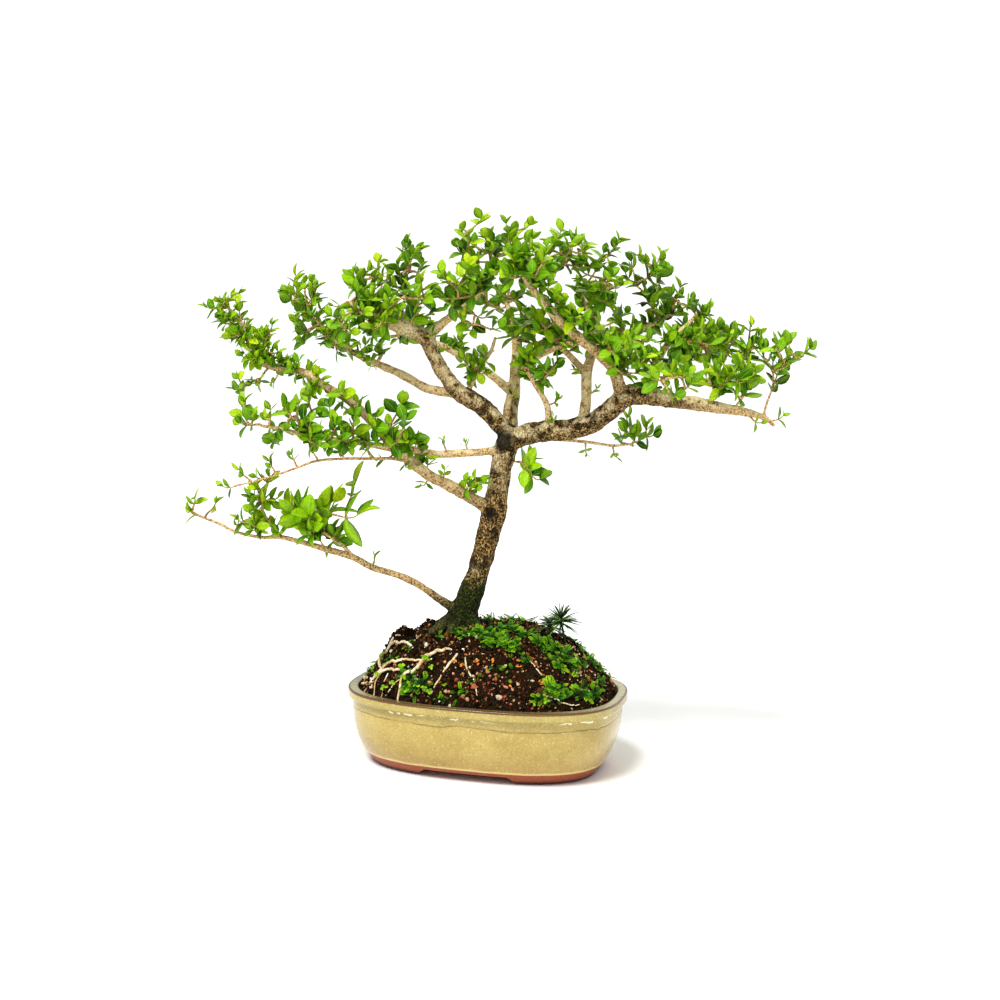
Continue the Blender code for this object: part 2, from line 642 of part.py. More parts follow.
def make_foliage(wood_space):
    """Ellipsoids, trimmed flat where two would meet, and hollowed where wood passes through."""
    places = {}
    for name, (centre, half_sizes) in FOLIAGE.items():
        places[name] = (tree_place(*centre), Vector(half_sizes) * MM * TREE_SCALE)
    for name, (centre, half_sizes) in places.items():
        bm = bmesh.new()
        bmesh.ops.create_icosphere(bm, subdivisions=ENVELOPE_SUBDIVISIONS, radius=1.0)
        bmesh.ops.scale(bm, verts=bm.verts, vec=half_sizes)
        bmesh.ops.translate(bm, verts=bm.verts, vec=centre)
        for other, (other_centre, other_sizes) in places.items():
            if other == name:
                continue
            between = other_centre - centre
            distance = between.length
            direction = between.normalized()
            near = support(half_sizes, direction)
            far = support(other_sizes, direction)
            if near + far < distance - FOLIAGE_GAP:
                continue
            edge = centre + direction * (distance * near / (near + far) - FOLIAGE_GAP / 2)
            bisect = bmesh.ops.bisect_plane(
                bm, geom=list(bm.verts) + list(bm.edges) + list(bm.faces),
                plane_co=edge, plane_no=direction, clear_outer=True,
            )
            cut_edges = [part for part in bisect["geom_cut"] if isinstance(part, bmesh.types.BMEdge)]
            if cut_edges:
                bmesh.ops.contextual_create(bm, geom=cut_edges)
        bmesh.ops.remove_doubles(bm, verts=bm.verts, dist=MERGE_DISTANCE)
        envelope = add_object(name, mesh_from(bm, name), PARTS, "leaf")
        boolean(envelope, "DIFFERENCE", wood_space)
        baked(envelope)
        keep_largest(envelope)
        smooth(envelope)


# Ground cover ---------------------------------------------------------------------------------

def make_moss(name, x_mm, y_mm, half_length, half_width, turn, wood_space):
    """A low cushion: an oval patch that follows the mound and is thickest in its middle."""
    cosine = math.cos(math.radians(turn))
    sine = math.sin(math.radians(turn))

    def ring(share, lift):
        points = []
        for i in range(PATCH_POINTS):
            angle = 2 * math.pi * i / PATCH_POINTS
            along = half_length * MM * share * math.cos(angle)
            across = half_width * MM * share * math.sin(angle)
            x = POT_X + x_mm * MM + along * cosine - across * sine
            y = POT_Y + y_mm * MM + along * sine + across * cosine
            points.append((x, y, mound_height(x, y) + lift))
        return points

    shares = np.linspace(PATCH_MIDDLE, 1.0, PATCH_RINGS)
    rings = [ring(share, GROUND_GAP) for share in shares]
    for share in shares[::-1]:
        rings.append(ring(share, GROUND_GAP + MOSS_HEIGHT * math.sqrt(PATCH_EDGE_FULLNESS - share**2)))
    moss = add_object(name, loft(name, rings), PARTS, "moss")
    boolean(moss, "DIFFERENCE", wood_space)
    baked(moss)
    keep_largest(moss)
    smooth(moss)


def mound_normal(x, y):
    rise_x = (mound_height(x + SLOPE_STEP, y) - mound_height(x - SLOPE_STEP, y)) / (2 * SLOPE_STEP)
    rise_y = (mound_height(x, y + SLOPE_STEP) - mound_height(x, y - SLOPE_STEP)) / (2 * SLOPE_STEP)
    return Vector((-rise_x, -rise_y, 1.0)).normalized()


def make_pebble(name, x_mm, y_mm, length, width, height):
    x = POT_X + x_mm * MM
    y = POT_Y + y_mm * MM
    up = mound_normal(x, y)
    bm = bmesh.new()
    bmesh.ops.create_icosphere(bm, subdivisions=PEBBLE_SUBDIVISIONS, radius=0.5)
    bmesh.ops.scale(bm, verts=bm.verts, vec=(length * MM, width * MM, height * MM))
    bmesh.ops.rotate(bm, verts=bm.verts, matrix=up.to_track_quat("Z", "Y").to_matrix())
    centre = Vector((x, y, mound_height(x, y))) + up * (height * MM / 2 + PEBBLE_GAP)
    bmesh.ops.translate(bm, verts=bm.verts, vec=centre)
    smooth(add_object(name, mesh_from(bm, name), PARTS, "stone"))


def make_seedling():
    """A self-sown conifer seedling: a thin stem under a flat tuft of needles."""
    x = POT_X + SEEDLING_X
    y = POT_Y + SEEDLING_Y
    foot = mound_height(x, y) + GROUND_GAP
    head = foot + SEEDLING_STEM_LENGTH
    stem = tube_mesh(
        "stem",
        [(x, y, foot, SEEDLING_STEM_RADIUS / MM), (x, y, head, SEEDLING_STEM_RADIUS / MM)],
        LIMB_BEVEL_STEPS,
    )
    bm = bmesh.new()
    bmesh.ops.create_icosphere(bm, subdivisions=SEEDLING_SUBDIVISIONS, radius=1.0)
    sizes = (SEEDLING_CROWN_RADIUS, SEEDLING_CROWN_RADIUS, SEEDLING_CROWN_HALF_HEIGHT)
    bmesh.ops.scale(bm, verts=bm.verts, vec=sizes)
    bmesh.ops.translate(bm, verts=bm.verts, vec=(x, y, head + SEEDLING_CROWN_HALF_HEIGHT / 2))
    seedling = add_object("conifer_seedling", mesh_from(bm, "conifer_seedling"), PARTS, "needle")
    boolean(seedling, "UNION", add_cutter("stem", stem))


for old in list(bpy.data.objects):
    bpy.data.objects.remove(old)

COLLAR = Vector((COLLAR_X, COLLAR_Y, mound_height(COLLAR_X, COLLAR_Y)))

PARTS = new_collection("potted_bonsai")
CUTTERS = new_collection("cutters", hidden=True)

make_pot()
for side, hand in ((-1, "left"), (1, "right")):
    make_drain_screen(side, f"drain_screen_{hand}")
    make_screen_clip(side, f"screen_clip_{hand}")
wood = make_wood("trunk_and_branches", PARTS)
wood.data.materials.clear()
wood.data.materials.append(material("bark"))
smooth(wood)
wood_room = make_wood("wood_room", CUTTERS, extra=CLEARANCE)
wood_room.hide_render = True
wood_room.display_type = "WIRE"
make_soil(wood_room)
make_foliage(wood_room)
for moss_name, patch in MOSS.items():
    make_moss(moss_name, *patch, wood_room)
for pebble_name, size in PEBBLES.items():
    make_pebble(pebble_name, *size)
make_seedling()
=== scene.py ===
"""A small-leaved bonsai tree in an oval glazed tray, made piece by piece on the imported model's frame."""

import math

import bpy
import numpy as np
from mathutils import Matrix, Vector


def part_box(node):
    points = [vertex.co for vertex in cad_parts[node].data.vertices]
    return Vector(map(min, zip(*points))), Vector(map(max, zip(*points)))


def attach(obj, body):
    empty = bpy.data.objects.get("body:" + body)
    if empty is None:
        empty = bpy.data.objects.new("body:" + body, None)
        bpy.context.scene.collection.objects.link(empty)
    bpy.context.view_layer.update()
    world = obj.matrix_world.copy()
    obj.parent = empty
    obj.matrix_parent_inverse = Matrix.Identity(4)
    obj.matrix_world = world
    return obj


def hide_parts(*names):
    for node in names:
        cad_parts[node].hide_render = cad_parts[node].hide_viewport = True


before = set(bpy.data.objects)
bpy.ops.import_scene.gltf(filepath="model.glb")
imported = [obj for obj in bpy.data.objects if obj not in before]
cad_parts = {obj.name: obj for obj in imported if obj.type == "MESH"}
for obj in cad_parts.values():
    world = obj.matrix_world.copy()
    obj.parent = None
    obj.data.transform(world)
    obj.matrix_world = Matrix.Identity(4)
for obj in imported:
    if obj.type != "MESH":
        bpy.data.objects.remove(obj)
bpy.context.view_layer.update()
MM = 0.001


# The pot --------------------------------------------------------------------------------------
# An oval stoneware tray with a flat lip, thrown thick and dipped in a thin celadon glaze. The glaze
# breaks brown on the lip's edge, stops in a roll above the foot, and leaves the foot's red clay bare.

POT_LIP_WIDTH = 0.009
POT_LIP_HEIGHT = 0.0085
POT_LIP_STEP = 0.0038
POT_PLAN_POWER = 2.7
POT_BELLY_INSET = 0.0155
POT_BELLY_POWER = 2.6
POT_SIDE_TAPER = 1.2
POT_WALL = 0.007
POT_FLOOR = 0.015
FOOT_HEIGHT = 0.0106
FOOT_INSET = 0.0225
FOOT_WIDTH = 0.011
FOOT_RECESS = 0.008
GAP_HEIGHT = 0.0069
GAP_HALF_TOP = 0.0365
GAP_HALF_BOTTOM = 0.045
DRAIN_RADIUS = 0.009
DRAIN_OFFSET = 0.046
HAIRLINE_BELOW_LIP = 0.0172
POT_AROUND = 420
# The lip's two rounded edges: (in from the edge, below the top, how much lip, how worn an edge)
OUTER_LIP = (
    (0.0, 0.0019, 0, 0.5), (0.0, 0.0012, 0, 0.85), (0.0001, 0.0006, 0.2, 1.0),
    (0.0004, 0.0002, 0.6, 1.0), (0.0010, 0.0, 1, 0.8), (0.0019, 0.0, 1, 0.35),
)
INNER_LIP = (
    (0.0009, 0.0001, 1, 0.5), (0.0003, 0.0004, 0.8, 0.8), (0.0, 0.0012, 0.5, 0.5),
    (0.0, POT_LIP_HEIGHT, 0.3, 0),
)

pot_low, pot_high = (np.array(corner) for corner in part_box("pot"))
pot_half = (pot_high - pot_low)[:2] / 2
lip_top = pot_high[2]
neck = lip_top - POT_LIP_HEIGHT


def unevenness(points, size, seed=0):
    """Smooth random values from -1 to 1: fixed random numbers on the corners of a grid of cubes
    of this size, blended across each cube with 3u^2 - 2u^3 on every axis."""
    cell = np.asarray(points, float) / size + 1000.0
    low = np.floor(cell).astype(np.int64)
    part = cell - low
    part = part * part * (3 - 2 * part)
    total = np.zeros(len(cell))
    for corner in np.ndindex(2, 2, 2):
        at = low + np.array(corner)
        mixed = at[:, 0] * 73856093 ^ at[:, 1] * 19349663 ^ at[:, 2] * 83492791 ^ (seed + 1) * 7919
        mixed = ((mixed ^ (mixed >> 13)) * 1274126177) & 0x7FFFFFFF
        mixed = ((mixed ^ (mixed >> 15)) * 16807) & 0x7FFFFFFF
        weight = np.prod(np.where(corner, part, 1 - part), axis=1)
        total += weight * (mixed / 0x3FFFFFFF - 1)
    return total


def grid_faces(rows, columns, joined=True):
    """Quads between neighbouring rows of points; joined closes each row on itself."""
    row = np.arange(rows - 1)[:, None] * columns
    column = np.arange(columns if joined else columns - 1)[None, :]
    right = (column + 1) % columns
    quads = [row + column, row + right, row + columns + right, row + columns + column]
    return np.stack(quads, axis=-1).reshape(-1, 4)


def new_piece(name, points, faces, finish, smooth=True, values=None):
    """An object from whole arrays of points and faces, with one number per point for each of
    values, that rides on the root body and takes its finish from this slot."""
    mesh = bpy.data.meshes.new(name)
    mesh.from_pydata(np.asarray(points, float).tolist(), [], [list(f) for f in faces])
    mesh.polygons.foreach_set("use_smooth", np.full(len(mesh.polygons), smooth))
    for label, numbers in (values or {}).items():
        store = mesh.attributes.new(label, "FLOAT", "POINT")
        store.data.foreach_set("value", np.asarray(numbers, np.float32))
    mesh.materials.append(finish)
    mesh.update()
    piece = bpy.data.objects.new(name, mesh)
    bpy.context.scene.collection.objects.link(piece)
    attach(piece, "root")
    return piece


def paint(red, green, blue):
    """A colour as it is read off a colour card, 0 to 255, turned to the light values of a shader."""
    share = np.array([red, green, blue]) / 255
    light = np.where(share <= 0.04045, share / 12.92, ((share + 0.055) / 1.055) ** 2.4)
    return (*light.tolist(), 1.0)


def new_finish(name, roughness, coat=0.0, gloss=0.5):
    """A material with one Principled shader, and the tree and shader to build on."""
    finish = bpy.data.materials.new(name)
    finish.use_nodes = True
    shader = finish.node_tree.nodes["Principled BSDF"]
    shader.inputs["Roughness"].default_value = roughness
    shader.inputs["Specular IOR Level"].default_value = gloss
    shader.inputs["Coat Weight"].default_value = coat
    shader.inputs["Coat Roughness"].default_value = 0.12
    return finish, finish.node_tree, shader


def object_place(tree):
    return tree.nodes.new("ShaderNodeTexCoord").outputs["Object"]


def stretched(tree, place, scale):
    """The place with each axis multiplied, so that a pattern is drawn out along one of them."""
    mapping = tree.nodes.new("ShaderNodeMapping")
    mapping.inputs["Scale"].default_value = scale
    tree.links.new(place, mapping.inputs["Vector"])
    return mapping.outputs["Vector"]


def fed(tree, socket, value):
    """Gives a socket its value: a number, a colour or another socket."""
    if isinstance(value, bpy.types.NodeSocket):
        tree.links.new(value, socket)
    else:
        socket.default_value = value


def cells(tree, place, scale, feature="F1"):
    """Distance to the nearest of many scattered seeds, or to the border between their cells."""
    spots = tree.nodes.new("ShaderNodeTexVoronoi")
    spots.feature = feature
    fed(tree, spots.inputs["Scale"], scale)
    fed(tree, spots.inputs["Vector"], place)
    return spots.outputs["Distance"]


def ramp(tree, value, low, high):
    """0 where the value is below low, 1 above high, and smooth between; low may be the larger."""
    step = tree.nodes.new("ShaderNodeMapRange")
    step.interpolation_type = "SMOOTHSTEP"
    fed(tree, step.inputs["From Min"], low)
    fed(tree, step.inputs["From Max"], high)
    fed(tree, step.inputs["Value"], value)
    return step.outputs["Result"]


def worked(tree, operation, first, second=0.0):
    """Arithmetic on two values, each a number or a socket."""
    step = tree.nodes.new("ShaderNodeMath")
    step.operation = operation
    fed(tree, step.inputs[0], first)
    fed(tree, step.inputs[1], second)
    return step.outputs[0]


def times(tree, first, second):
    return worked(tree, "MULTIPLY", first, second)


def plus(tree, first, second):
    return worked(tree, "ADD", first, second)


def blended(tree, amount, first, second):
    """The first colour turning to the second as the amount goes from 0 to 1. The node's colours go
    in at 6 and 7 and come out at 2."""
    mix = tree.nodes.new("ShaderNodeMix")
    mix.data_type = "RGBA"
    fed(tree, mix.inputs[0], amount)
    fed(tree, mix.inputs[6], first)
    fed(tree, mix.inputs[7], second)
    return mix.outputs[2]


def new_effect(name, takes, gives):
    """An empty node group with these inputs and outputs, each a name and its kind of socket."""
    group = bpy.data.node_groups.new(name, "ShaderNodeTree")
    for label, kind in takes.items():
        group.interface.new_socket(label, in_out="INPUT", socket_type="NodeSocket" + kind)
    for label, kind in gives.items():
        group.interface.new_socket(label, in_out="OUTPUT", socket_type="NodeSocket" + kind)
    inside = group.nodes.new("NodeGroupInput").outputs
    outside = group.nodes.new("NodeGroupOutput").inputs
    return group, inside, outside


def placed(tree, effect, values):
    """One use of an effect in a material, with its own values: the outputs of its group node."""
    use = tree.nodes.new("ShaderNodeGroup")
    use.node_tree = effect
    for label, value in values.items():
        fed(tree, use.inputs[label], value)
    return use.outputs


def grain_effect():
    """Cloudy noise from 0 to 1, with Scale features to the metre."""
    takes = {"Place": "Vector", "Scale": "Float", "Detail": "Float", "Roughness": "Float"}
    group, given, result = new_effect("grain", takes, {"Grain": "Float"})
    noise = group.nodes.new("ShaderNodeTexNoise")
    fed(group, noise.inputs["Vector"], given["Place"])
    for label in ("Scale", "Detail", "Roughness"):
        fed(group, noise.inputs[label], given[label])
    fed(group, result["Grain"], noise.outputs["Fac"])
    return group


def mottle_effect():
    """The dark colour where the grain is below From, the light one above To, smooth between."""
    takes = {"Grain": "Float", "From": "Float", "To": "Float", "Dark": "Color", "Light": "Color"}
    group, given, result = new_effect("mottle", takes, {"Colour": "Color"})
    share = ramp(group, given["Grain"], given["From"], given["To"])
    fed(group, result["Colour"], blended(group, share, given["Dark"], given["Light"]))
    return group


def wash_effect():
    """One colour laid over another, as strongly as the mask times the amount."""
    takes = {"Under": "Color", "Over": "Color", "Mask": "Float", "Amount": "Float"}
    group, given, result = new_effect("wash", takes, {"Colour": "Color"})
    strength = times(group, given["Mask"], given["Amount"])
    fed(group, result["Colour"], blended(group, strength, given["Under"], given["Over"]))
    return group


def speckle_effect():
    """Spots round scattered seeds, faint at Far and full at Near, and the same kept only where
    cloudy patches of their own scale rise from From to To."""
    takes = {"Place": "Vector"}
    takes.update(dict.fromkeys(("Scale", "Far", "Near", "Patch Scale", "From", "To"), "Float"))
    group, given, result = new_effect("speckle", takes, {"Mask": "Float", "Spots": "Float"})
    spots = ramp(group, cells(group, given["Place"], given["Scale"]), given["Far"], given["Near"])
    patches = clouds(group, given["Place"], given["Patch Scale"])
    kept = ramp(group, patches, given["From"], given["To"])
    fed(group, result["Mask"], times(group, spots, kept))
    fed(group, result["Spots"], spots)
    return group


def clouds(tree, place, scale, detail=3.0, roughness=0.55):
    values = {"Place": place, "Scale": scale, "Detail": detail, "Roughness": roughness}
    return placed(tree, grain_group, values)["Grain"]


def mottled(tree, grain, start, stop, dark, light):
    values = {"Grain": grain, "From": start, "To": stop, "Dark": dark, "Light": light}
    return placed(tree, mottle_group, values)["Colour"]


def washed(tree, under, over, mask, amount=1.0):
    values = {"Under": under, "Over": over, "Mask": mask, "Amount": amount}
    return placed(tree, wash_group, values)["Colour"]


def speckled(tree, place, scale, far, near, patch_scale, start, stop):
    values = {"Place": place, "Scale": scale, "Far": far, "Near": near}
    values.update({"Patch Scale": patch_scale, "From": start, "To": stop})
    return placed(tree, speckle_group, values)


grain_group = grain_effect()
mottle_group = mottle_effect()
wash_group = wash_effect()
speckle_group = speckle_effect()


def axis_of(tree, place, axis):
    parts = tree.nodes.new("ShaderNodeSeparateXYZ")
    tree.links.new(place, parts.inputs[0])
    return parts.outputs[axis]


def point_value(tree, label):
    reader = tree.nodes.new("ShaderNodeAttribute")
    reader.attribute_name = label
    return reader.outputs["Fac"]


def relief(tree, shader, height, distance, strength=1.0):
    bump = tree.nodes.new("ShaderNodeBump")
    bump.inputs["Distance"].default_value = distance
    bump.inputs["Strength"].default_value = strength
    tree.links.new(height, bump.inputs["Height"])
    tree.links.new(bump.outputs["Normal"], shader.inputs["Normal"])


def glaze_finish():
    """Celadon over red clay: cloudy olive cream, gold low on the wall, brown where it breaks, painted shade
    over the middle of the lip's top, and a painted highlight under the lip.
    """
    finish, tree, shader = new_finish("glaze", 0.3, coat=0.35)
    place = object_place(tree)
    height = axis_of(tree, place, "Z")
    broad = clouds(tree, place, 30.0)
    colour = mottled(tree, broad, 0.3, 0.7, paint(170, 146, 72), paint(186, 163, 92))
    low_wall = ramp(tree, plus(tree, height, times(tree, broad, 0.02)), 0.045, 0.018)
    colour = washed(tree, colour, paint(160, 122, 52), low_wall, 0.55)
    green = ramp(tree, height, lip_top - 0.022, lip_top - 0.006)
    colour = washed(tree, colour, paint(172, 160, 92), green, 0.45)
    streaks = clouds(tree, stretched(tree, place, (1.0, 1.0, 0.25)), 330.0)
    colour = washed(tree, colour, paint(150, 134, 70), ramp(tree, streaks, 0.5, 0.72), 0.4)
    bloom = clouds(tree, place, 700.0, detail=2.0)
    colour = washed(tree, colour, paint(238, 226, 168), ramp(tree, bloom, 0.52, 0.7), 0.35)
    specks = speckled(tree, place, 520.0, 0.24, 0.1, 150.0, 0.5, 0.6)["Mask"]
    colour = washed(tree, colour, paint(110, 90, 42), specks, 0.75)
    lip = point_value(tree, "lip")
    # The lip's top is pale grey-green at the two ends and dark olive-brown over the middle: partly the
    # glaze's own brown, partly painted shade from the lip's inner edge.
    ends = ramp(tree, worked(tree, "ABSOLUTE", axis_of(tree, place, "X")), 0.06, 0.115)
    drift = times(tree, clouds(tree, place, 60.0), 0.3)
    ends = plus(tree, times(tree, ends, 0.7), drift)
    lip_stain_and_shade = washed(tree, paint(84, 66, 32), paint(176, 172, 136), ends)
    colour = washed(tree, colour, lip_stain_and_shade, lip, 0.85)
    ragged = plus(tree, clouds(tree, place, 240.0), 0.45)
    ragged = times(tree, point_value(tree, "edge"), ragged)
    colour = washed(tree, colour, paint(92, 56, 20), ramp(tree, ragged, 0.2, 0.62), 0.92)
    crease = ramp(tree, point_value(tree, "crease"), 0.25, 0.9)
    colour = washed(tree, colour, paint(122, 100, 52), crease, 0.75)
    # Painted highlight: near-white cream where the glaze beads under the lip, standing in for the
    # reflections that catch there.
    bead_and_highlight = ramp(tree, point_value(tree, "bead_and_highlight"), 0.25, 0.6)
    colour = washed(tree, colour, paint(252, 246, 218), bead_and_highlight, 0.9)
    roll = point_value(tree, "roll")
    colour = washed(tree, colour, paint(232, 214, 150), roll, 0.75)
    clay_grain = clouds(tree, place, 900.0, detail=4.0)
    clay = mottled(tree, clay_grain, 0.35, 0.65, paint(128, 62, 34), paint(168, 92, 56))
    clay = washed(tree, clay, paint(82, 38, 24), ramp(tree, height, 0.005, 0.0015))
    bare = ramp(tree, point_value(tree, "bare"), 0.35, 0.65)
    colour = washed(tree, colour, clay, bare)
    tree.links.new(colour, shader.inputs["Base Color"])
    gloss = plus(tree, times(tree, streaks, 0.22), 0.14)
    gloss = worked(tree, "MAXIMUM", gloss, times(tree, bare, 0.85))
    tree.links.new(gloss, shader.inputs["Roughness"])
    skin = plus(tree, times(tree, broad, 1.4), times(tree, bloom, 0.25))
    pits = times(tree, specks, -0.35)
    relief(tree, shader, plus(tree, skin, pits), 0.0007, 0.55)
    return finish


def wall_inset(height):
    """How far the outside stands in from the lip: straight down the foot, then a belly that
    curves out to the neck as (1 - rise) to the power 2.6."""
    foot = FOOT_INSET + (POT_BELLY_INSET - FOOT_INSET) * height / FOOT_HEIGHT
    rise = np.clip((height - FOOT_HEIGHT) / (neck - FOOT_HEIGHT), 0, 1)
    belly = POT_LIP_STEP + (POT_BELLY_INSET - POT_LIP_STEP) * (1 - rise) ** POT_BELLY_POWER
    return np.where(height <= FOOT_HEIGHT, foot, belly)


def plan_turn(count):
    """The two unit coordinates of an oval |x|^2.7 + |y|^2.7 = 1, at equal steps along its length."""
    turn = np.linspace(0, 2 * np.pi, 6001)
    power = 2 / POT_PLAN_POWER
    x = np.sign(np.cos(turn)) * np.abs(np.cos(turn)) ** power
    y = np.sign(np.sin(turn)) * np.abs(np.sin(turn)) ** power
    steps = np.hypot(np.diff(x * pot_half[0]), np.diff(y * pot_half[1]))
    run = np.concatenate([[0], np.cumsum(steps)])
    at = np.linspace(0, run[-1], count, endpoint=False)
    return np.interp(at, run, x), np.interp(at, run, y)


def pot_stations():
    """The pot's section as rows of (inset on x, inset on y, height, lip, edge, bare), from the
    middle of the underside, round the foot, up the wall, over the lip and down the inside."""
    rows = []
    for share in (0.02, 0.3, 0.6, 0.85):
        inset = pot_half * (1 - share * np.array([0.66, 0.56]))
        rows.append((*inset, FOOT_RECESS, 0, 0, 1))
    ring = ((0.0016, 0.008), (0.0008, 0.0072), (0.0004, 0.004), (0.0002, 0.0008), (-0.0006, 0.0))
    for beyond, height in (*ring, (0.0014 - FOOT_WIDTH, 0.0)):
        inset = FOOT_INSET + FOOT_WIDTH + beyond
        rows.append((inset, inset * POT_SIDE_TAPER, height, 0, 0, 1))
    foot = np.array([0.0007, 0.002, 0.004, 0.006, 0.008, 0.0092, 0.0098, 0.0102])
    roll = np.array([0.0106, 0.0110, 0.0114, 0.0118, 0.0123, 0.0130, 0.0140])
    belly = np.linspace(0.0155, 0.047, 26)
    under_hairline = np.linspace(0.0474, 0.0560, 24)
    under_lip = np.linspace(0.0565, neck - 0.0006, 14)
    for height in np.concatenate([foot, roll, belly, under_hairline, under_lip]):
        inset = float(wall_inset(height))
        rows.append((inset, inset * POT_SIDE_TAPER, height, 0, 0, float(height < 0.0105)))
    under = ((POT_LIP_STEP * 0.75, -0.0002), (POT_LIP_STEP * 0.35, 0.0), (0.0008, 0.0003), (0.0001, 0.0012))
    rows += [(inset, inset, neck + rise, 0, 0, 0) for inset, rise in under]
    rows += [(0.0, 0.0, height, 0, 0, 0) for height in np.linspace(neck + 0.002, lip_top - 0.0026, 7)]
    for inset, fall, lip, edge in OUTER_LIP:
        rows.append((inset, inset, lip_top - fall, lip, edge, 0))
    for inset in np.linspace(0.003, POT_LIP_WIDTH - 0.002, 6):
        rows.append((inset, inset, lip_top, 1, 0.05, 0))
    for back, fall, lip, edge in INNER_LIP:
        rows.append((POT_LIP_WIDTH - back, POT_LIP_WIDTH - back, lip_top - fall, lip, edge, 0))
    for height in np.linspace(neck - 0.004, POT_FLOOR + 0.003, 10):
        inset = float(wall_inset(height))
        rows.append((inset + POT_WALL, inset * POT_SIDE_TAPER + POT_WALL, height, 0, 0, 0))
    inset = float(wall_inset(POT_FLOOR)) + POT_WALL + 0.003
    rows.append((inset, inset * 1.1, POT_FLOOR, 0, 0, 0))
    for share in (0.7, 0.35, 0.02):
        half = (pot_half[0] - inset) * share, (pot_half[1] - inset * 1.1) * share
        rows.append((pot_half[0] - half[0], pot_half[1] - half[1], POT_FLOOR, 0, 0, 0))
    return np.array(rows, float)


def pot_piece():
    """Each station is the oval plan with its insets. The foot is lifted to the gap's height over
    its middle, and the skin is pushed in and out by unevenness, a wandering hairline and a roll."""
    rows = pot_stations()
    turn_x, turn_y = plan_turn(POT_AROUND)
    inset_x, inset_y, height, lip, edge, bare = (np.repeat(c[:, None], POT_AROUND, 1) for c in rows.T)
    x = turn_x * (pot_half[0] - inset_x)
    slope = (GAP_HALF_BOTTOM - np.abs(x)) / (GAP_HALF_BOTTOM - GAP_HALF_TOP)
    gap = GAP_HEIGHT * np.clip(slope, 0, 1)
    foot = (height < FOOT_HEIGHT) & (inset_x < FOOT_INSET + FOOT_WIDTH + 0.002)
    lifted = np.where(foot, gap + height * (FOOT_HEIGHT - gap) / FOOT_HEIGHT, height)
    outside = foot & (inset_x <= FOOT_INSET)
    new_inset = np.where(outside, wall_inset(lifted), inset_x)
    inset_x = new_inset
    inset_y = np.where(outside, new_inset * POT_SIDE_TAPER, inset_y)
    x = turn_x * (pot_half[0] - inset_x)
    y = turn_y * (pot_half[1] - inset_y)
    points = np.stack([x, y, lifted], axis=-1).reshape(-1, 3)
    flat = points * (1, 1, 0)
    skin = ((bare < 0.5) & (lip < 0.1) & (height < neck) & (inset_x < POT_BELLY_INSET + 0.001)).ravel()
    wander = unevenness(flat, 0.024, 3) * 0.0012 + unevenness(flat, 0.0045, 4) * 0.0006
    line = lip_top - HAIRLINE_BELOW_LIP + wander
    broken = np.clip(unevenness(flat, 0.012, 5) * 1.5 + 1.5, 0.7, 1)
    crease = np.exp(-(((points[:, 2] - line) / 0.00065) ** 2)) * broken * skin
    # Beads of glaze under the lip: pushed out as real bumps, and handed to the glaze as the mask of a
    # painted highlight.
    bead_and_highlight_line = neck - 0.0016 + unevenness(flat, 0.0035, 9) * 0.0011
    bead_and_highlight_patches = np.clip(unevenness(flat, 0.0028, 10) * 2.4 + 0.7, 0, 1)
    bead_and_highlight_patches *= np.clip(unevenness(flat, 0.028, 11) * 2.2 + 0.9, 0.1, 1)
    bead_and_highlight = np.exp(-(((points[:, 2] - bead_and_highlight_line) / 0.0009) ** 2)) * bead_and_highlight_patches * skin
    edge_line = 0.0117 + unevenness(flat, 0.009, 6) * 0.0005
    roll = np.exp(-(((points[:, 2] - edge_line) / 0.0009) ** 2)) * skin
    push = unevenness(points, 0.045, 7) * 0.00035 + unevenness(points, 0.011, 8) * 0.0001
    push = (push - crease * 0.00035 + roll * 0.00035 + bead_and_highlight * 0.0004) * skin
    outward = points[:, :2] / (pot_half**2)
    outward /= np.linalg.norm(outward, axis=1, keepdims=True) + 1e-9
    points[:, :2] += outward * push[:, None]
    count = len(rows)
    middle = np.array([[0, 0, FOOT_RECESS], [0, 0, POT_FLOOR]])
    points = np.concatenate([points, middle])
    faces = grid_faces(count, POT_AROUND)
    ring = np.arange(POT_AROUND)
    under = np.stack([np.full(POT_AROUND, count * POT_AROUND), (ring + 1) % POT_AROUND, ring], axis=1)
    last = (count - 1) * POT_AROUND
    floor = np.stack(
        [np.full(POT_AROUND, count * POT_AROUND + 1), last + ring, last + (ring + 1) % POT_AROUND], axis=1
    )
    pad = np.zeros(2)
    values = {
        "lip": np.concatenate([lip.ravel(), pad]),
        "edge": np.concatenate([edge.ravel(), pad]),
        "bare": np.concatenate([bare.ravel(), [1.0, 0.0]]),
        "crease": np.concatenate([crease, pad]),
        "bead_and_highlight": np.concatenate([bead_and_highlight, pad]),
        "roll": np.concatenate([roll, pad]),
    }
    piece = new_piece(
        "glazed_pot", points, [*faces, *under, *floor], glaze_finish(), values=values
    )
    for side in (-1, 1):
        hole = (side * DRAIN_OFFSET, 0, POT_FLOOR - 0.004)
        bpy.ops.mesh.primitive_cylinder_add(vertices=48, radius=DRAIN_RADIUS, depth=0.03, location=hole)
        drill = bpy.context.object
        cut = piece.modifiers.new("drain", "BOOLEAN")
        cut.operation = "DIFFERENCE"
        cut.solver = "EXACT"
        cut.object = drill
        bpy.context.view_layer.objects.active = piece
        bpy.ops.object.modifier_apply(modifier="drain")
        bpy.data.objects.remove(drill)
    return piece


glazed_pot = pot_piece()
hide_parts("pot")


# The drain screens ----------------------------------------------------------------------------
# Two squares of dark plastic mesh over the drain holes, each held by a bent wire staple whose legs
# go through the hole and splay under the base. Both stay as they were cut; only the finish is new.


